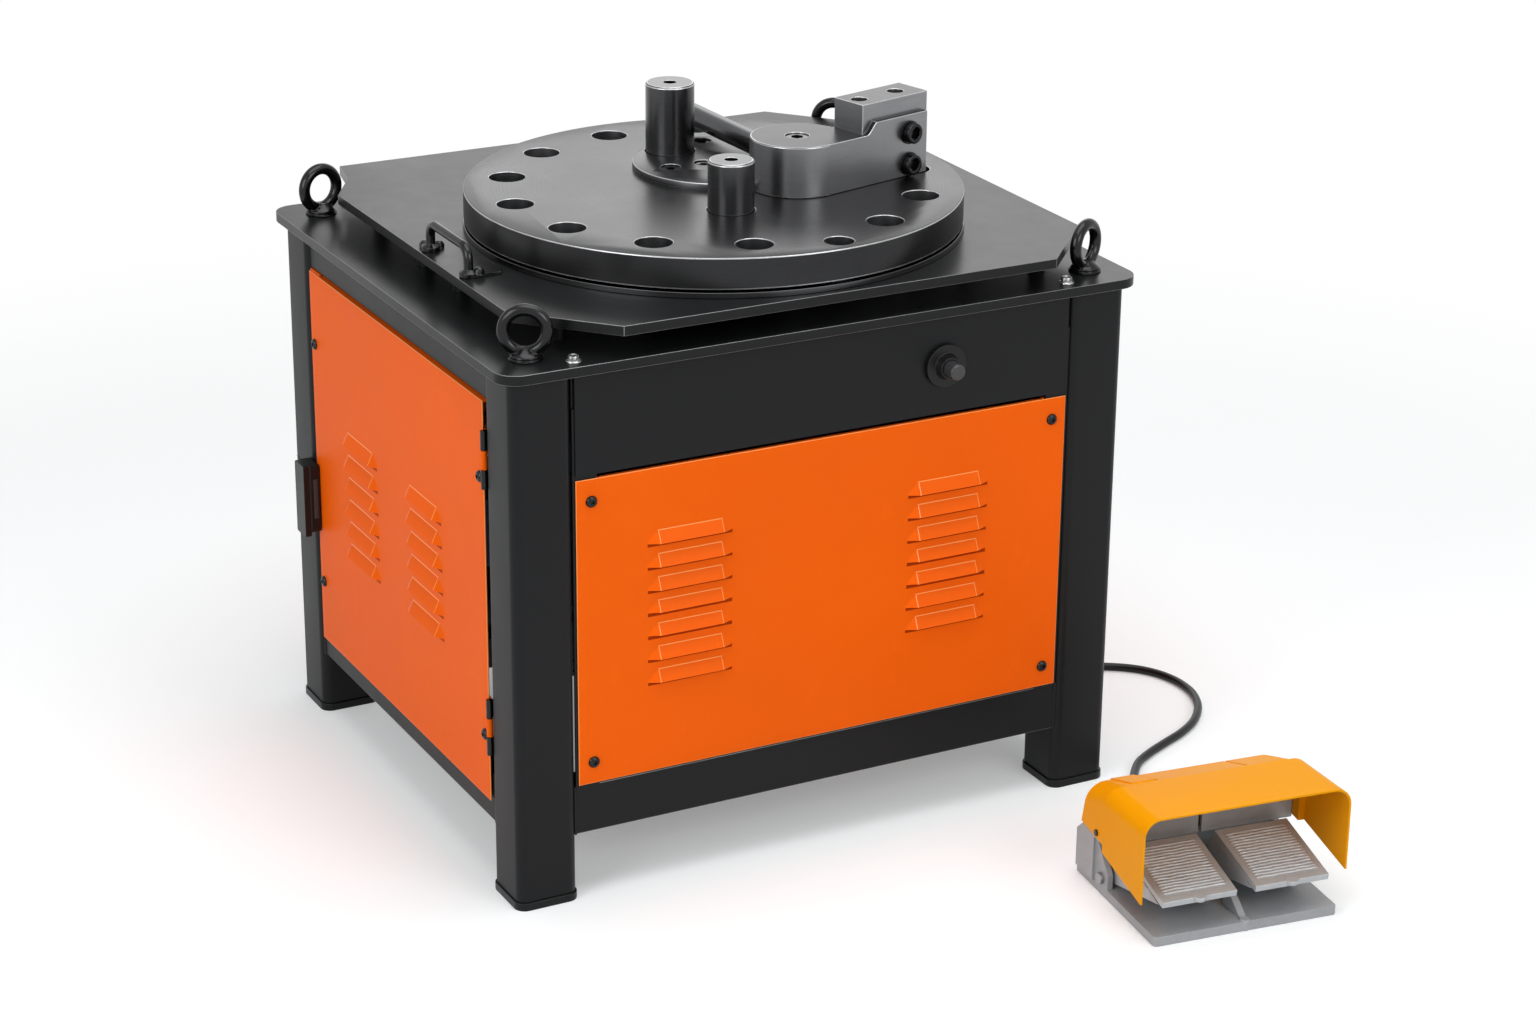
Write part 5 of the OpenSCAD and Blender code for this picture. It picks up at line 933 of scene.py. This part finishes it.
# Every other rigid piece: how far its edges are eased, in millimetres
easing = {
    "legs": 1.0, "foot_pads": 1.0, "lower_rails": 0.9, "upper_rails": 1.2, "table_plate": 0.6, "cover_plate": 0.6,
    "plate_spacers": 0.6, "eyebolts": 1.2, "grab_handle": 0.8, "wear_ring": 0.8, "fascia": 0.6, "panel_strips": 0.4,
    "drive_bed": 1.0, "spindle_housing": 1.0, "gearbox": 2.0, "motor": 0.8, "control_box": 1.5, "button_bezel": 0.8,
    "switch_block": 0.8, "cable_glands": 0.5, "door_hinges": 0.4, "pedal_base": 0.9, "pedal_hood": 0.2,
    "hood_screws": 0.3, "pedal_shaft": 0.5, "pedal_switches": 0.6, "spindle": 0.8, "arm_bolt": 0.5,
    "centre_pin": 0.8, "bending_pin": 0.8, "bending_arm": 0.9, "clamp_block": 0.9, "stop_bar": 0.6,
    "driven_pulley": 0.5, "motor_pulley": 0.5, "door_latch": 0.8, "latch_paddle": 0.5}
# these nodes' eased edges take a lighter colour: rubbed wear and a painted highlight
edgeWearAndHighlights = {"lower_rails": plateEdgeWearAndHighlight, "table_plate": plateEdgeWearAndHighlight, "cover_plate": plateEdgeWearAndHighlight,
                "bending_arm": edgeShine, "clamp_block": edgeShine, "centre_pin": edgeShine,
                "bending_pin": edgeShine, "stop_bar": edgeShine}
ownFinishes = {"bending_arm": armSteelLitSides, "clamp_block": armSteelLitSides}
for node, width in easing.items():
    dress(node, width * mm, ownFinishes.get(node), edgeWearAndHighlights.get(node))

# Springs: each a smoothed copy in its slot's finish, its length at rest printed; its joint, seat and travel in
# millimetres are listed, but nothing here shortens it
springs = {"button_spring": {"joint": "button_press", "along": 1, "seat": 1, "travel": 6},
           "left_pedal_spring": {"joint": "left_pedal_press", "along": 2, "seat": 0, "travel": 8},
           "right_pedal_spring": {"joint": "right_pedal_press", "along": 2, "seat": 0, "travel": 8}}
for node, plan in springs.items():
    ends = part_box(node)
    tall = ends[1][plan["along"]] - ends[0][plan["along"]]
    piece = settle(smoothed(mergedCopy(node, camel(node))), camel(node), node, finishes[slotOf[node]],
                   replaced=[node])
    tuple(float(k == plan["along"]) for k in range(3))
    1 - plan["travel"] * mm / tall
    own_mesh(piece)
    print(camel(node), round(tall, 4), "m long at rest")

# The nodes that show as they are get their slot's finish
done = set(easing) | {plan["node"] for plan in plates.values()} | {plan["node"] for plan in panels.values()}
for node in nodes:
    if node not in done and not nodes[node].hide_render:
        nodes[node].data.materials[0] = finishes[slotOf[node]]
print("rigid pieces dressed")


# Studio: white floor and background, soft boxes
def seenRays(paint):
    rays = [paint.add("ShaderNodeLightPath", out=name)
            for name in ("Is Camera Ray", "Is Glossy Ray", "Is Transmission Ray")]
    return rays[0] + rays[1] + rays[2] > 0.5


ground = {"half": 14, "fade": (1.0, 2.4), "seen": (0.8, 0.83, 0.84), "lift": 0.26}


def makeFloor():
    # matt to the light, lifted towards white where it is seen, and plain white further out
    paint = Paint("studioFloor")
    away = paint.add("ShaderNodeVectorMath", {"operation": "LENGTH"}, {0: paint.place()}, out="Value")
    far = paint.add("ShaderNodeMapRange", {"interpolation_type": "SMOOTHSTEP"},
                    {"Value": away, "From Min": ground["fade"][0], "From Max": ground["fade"][1]})
    matt = paint.add("ShaderNodeBsdfDiffuse", None, {"Color": (0.8, 0.8, 0.8)})
    shownMatt = paint.add("ShaderNodeBsdfDiffuse", None, {"Color": ground["seen"]})
    white = paint.add("ShaderNodeEmission", None, {"Color": (1, 1, 1), "Strength": 1.0})
    lift = paint.add("ShaderNodeEmission", None, {"Color": (1, 1, 1), "Strength": ground["lift"]})
    lit = paint.add("ShaderNodeAddShader", None, {0: shownMatt, 1: lift})
    shown = paint.add("ShaderNodeMixShader", None, {0: far, 1: lit, 2: white})
    final = paint.add("ShaderNodeMixShader", None, {0: seenRays(paint), 1: matt, 2: shown})
    paint.add("ShaderNodeOutputMaterial", None, {"Surface": final})
    half = ground["half"]
    mesh = bpy.data.meshes.new("studioFloor")
    mesh.from_pydata([(-half, -half, 0), (half, -half, 0), (half, half, 0), (-half, half, 0)], [], [(0, 1, 2, 3)])
    mesh.materials.append(paint.material)
    floor = bpy.data.objects.new("studioFloor", mesh)
    bpy.context.scene.collection.objects.link(floor)


def makeWorld():
    world = bpy.data.worlds.new("studio")
    world.use_nodes = True
    bpy.context.scene.world = world
    paint = Paint("studio", world.node_tree)
    dim = paint.add("ShaderNodeBackground", None, {"Color": (1, 1, 1), "Strength": 0.4})
    bright = paint.add("ShaderNodeBackground", None, {"Color": (1, 1, 1), "Strength": 1.0})
    mixed = paint.add("ShaderNodeMixShader", None, {0: seenRays(paint), 1: dim, 2: bright})
    paint.add("ShaderNodeOutputWorld", None, {"Surface": mixed})


softBoxes = {
    "topBox": {"place": (0.1, -0.4, 3.0), "size": (2.4, 2.0), "watts": 43, "target": (0, 0, 0.6)},
    "leftBox": {"place": (-3.0, -1.2, 1.9), "size": (1.6, 1.8), "watts": 38, "target": (0, 0, 0.4)},
    "frontBox": {"place": (0.9, -3.4, 2.1), "size": (1.8, 1.4), "watts": 36, "target": (0, 0, 0.4)},
    "backBox": {"place": (1.6, 2.8, 2.0), "size": (2.0, 1.2), "watts": 10, "target": (0, 0, 0.6)}}


def makeLights():
    for name, box in softBoxes.items():
        lamp = bpy.data.lights.new(name, "AREA")
        lamp.shape = "RECTANGLE"
        lamp.size, lamp.size_y = box["size"]
        lamp.energy = box["watts"]
        light = bpy.data.objects.new(name, lamp)
        light.location = box["place"]
        light.rotation_euler = (Vector(box["target"]) - Vector(box["place"])).to_track_quat("-Z", "Y").to_euler()
        bpy.context.scene.collection.objects.link(light)


makeFloor()
makeWorld()
makeLights()
bpy.context.scene.view_settings.view_transform = "Standard"
print("studio lit")

bpy.context.view_layer.update()
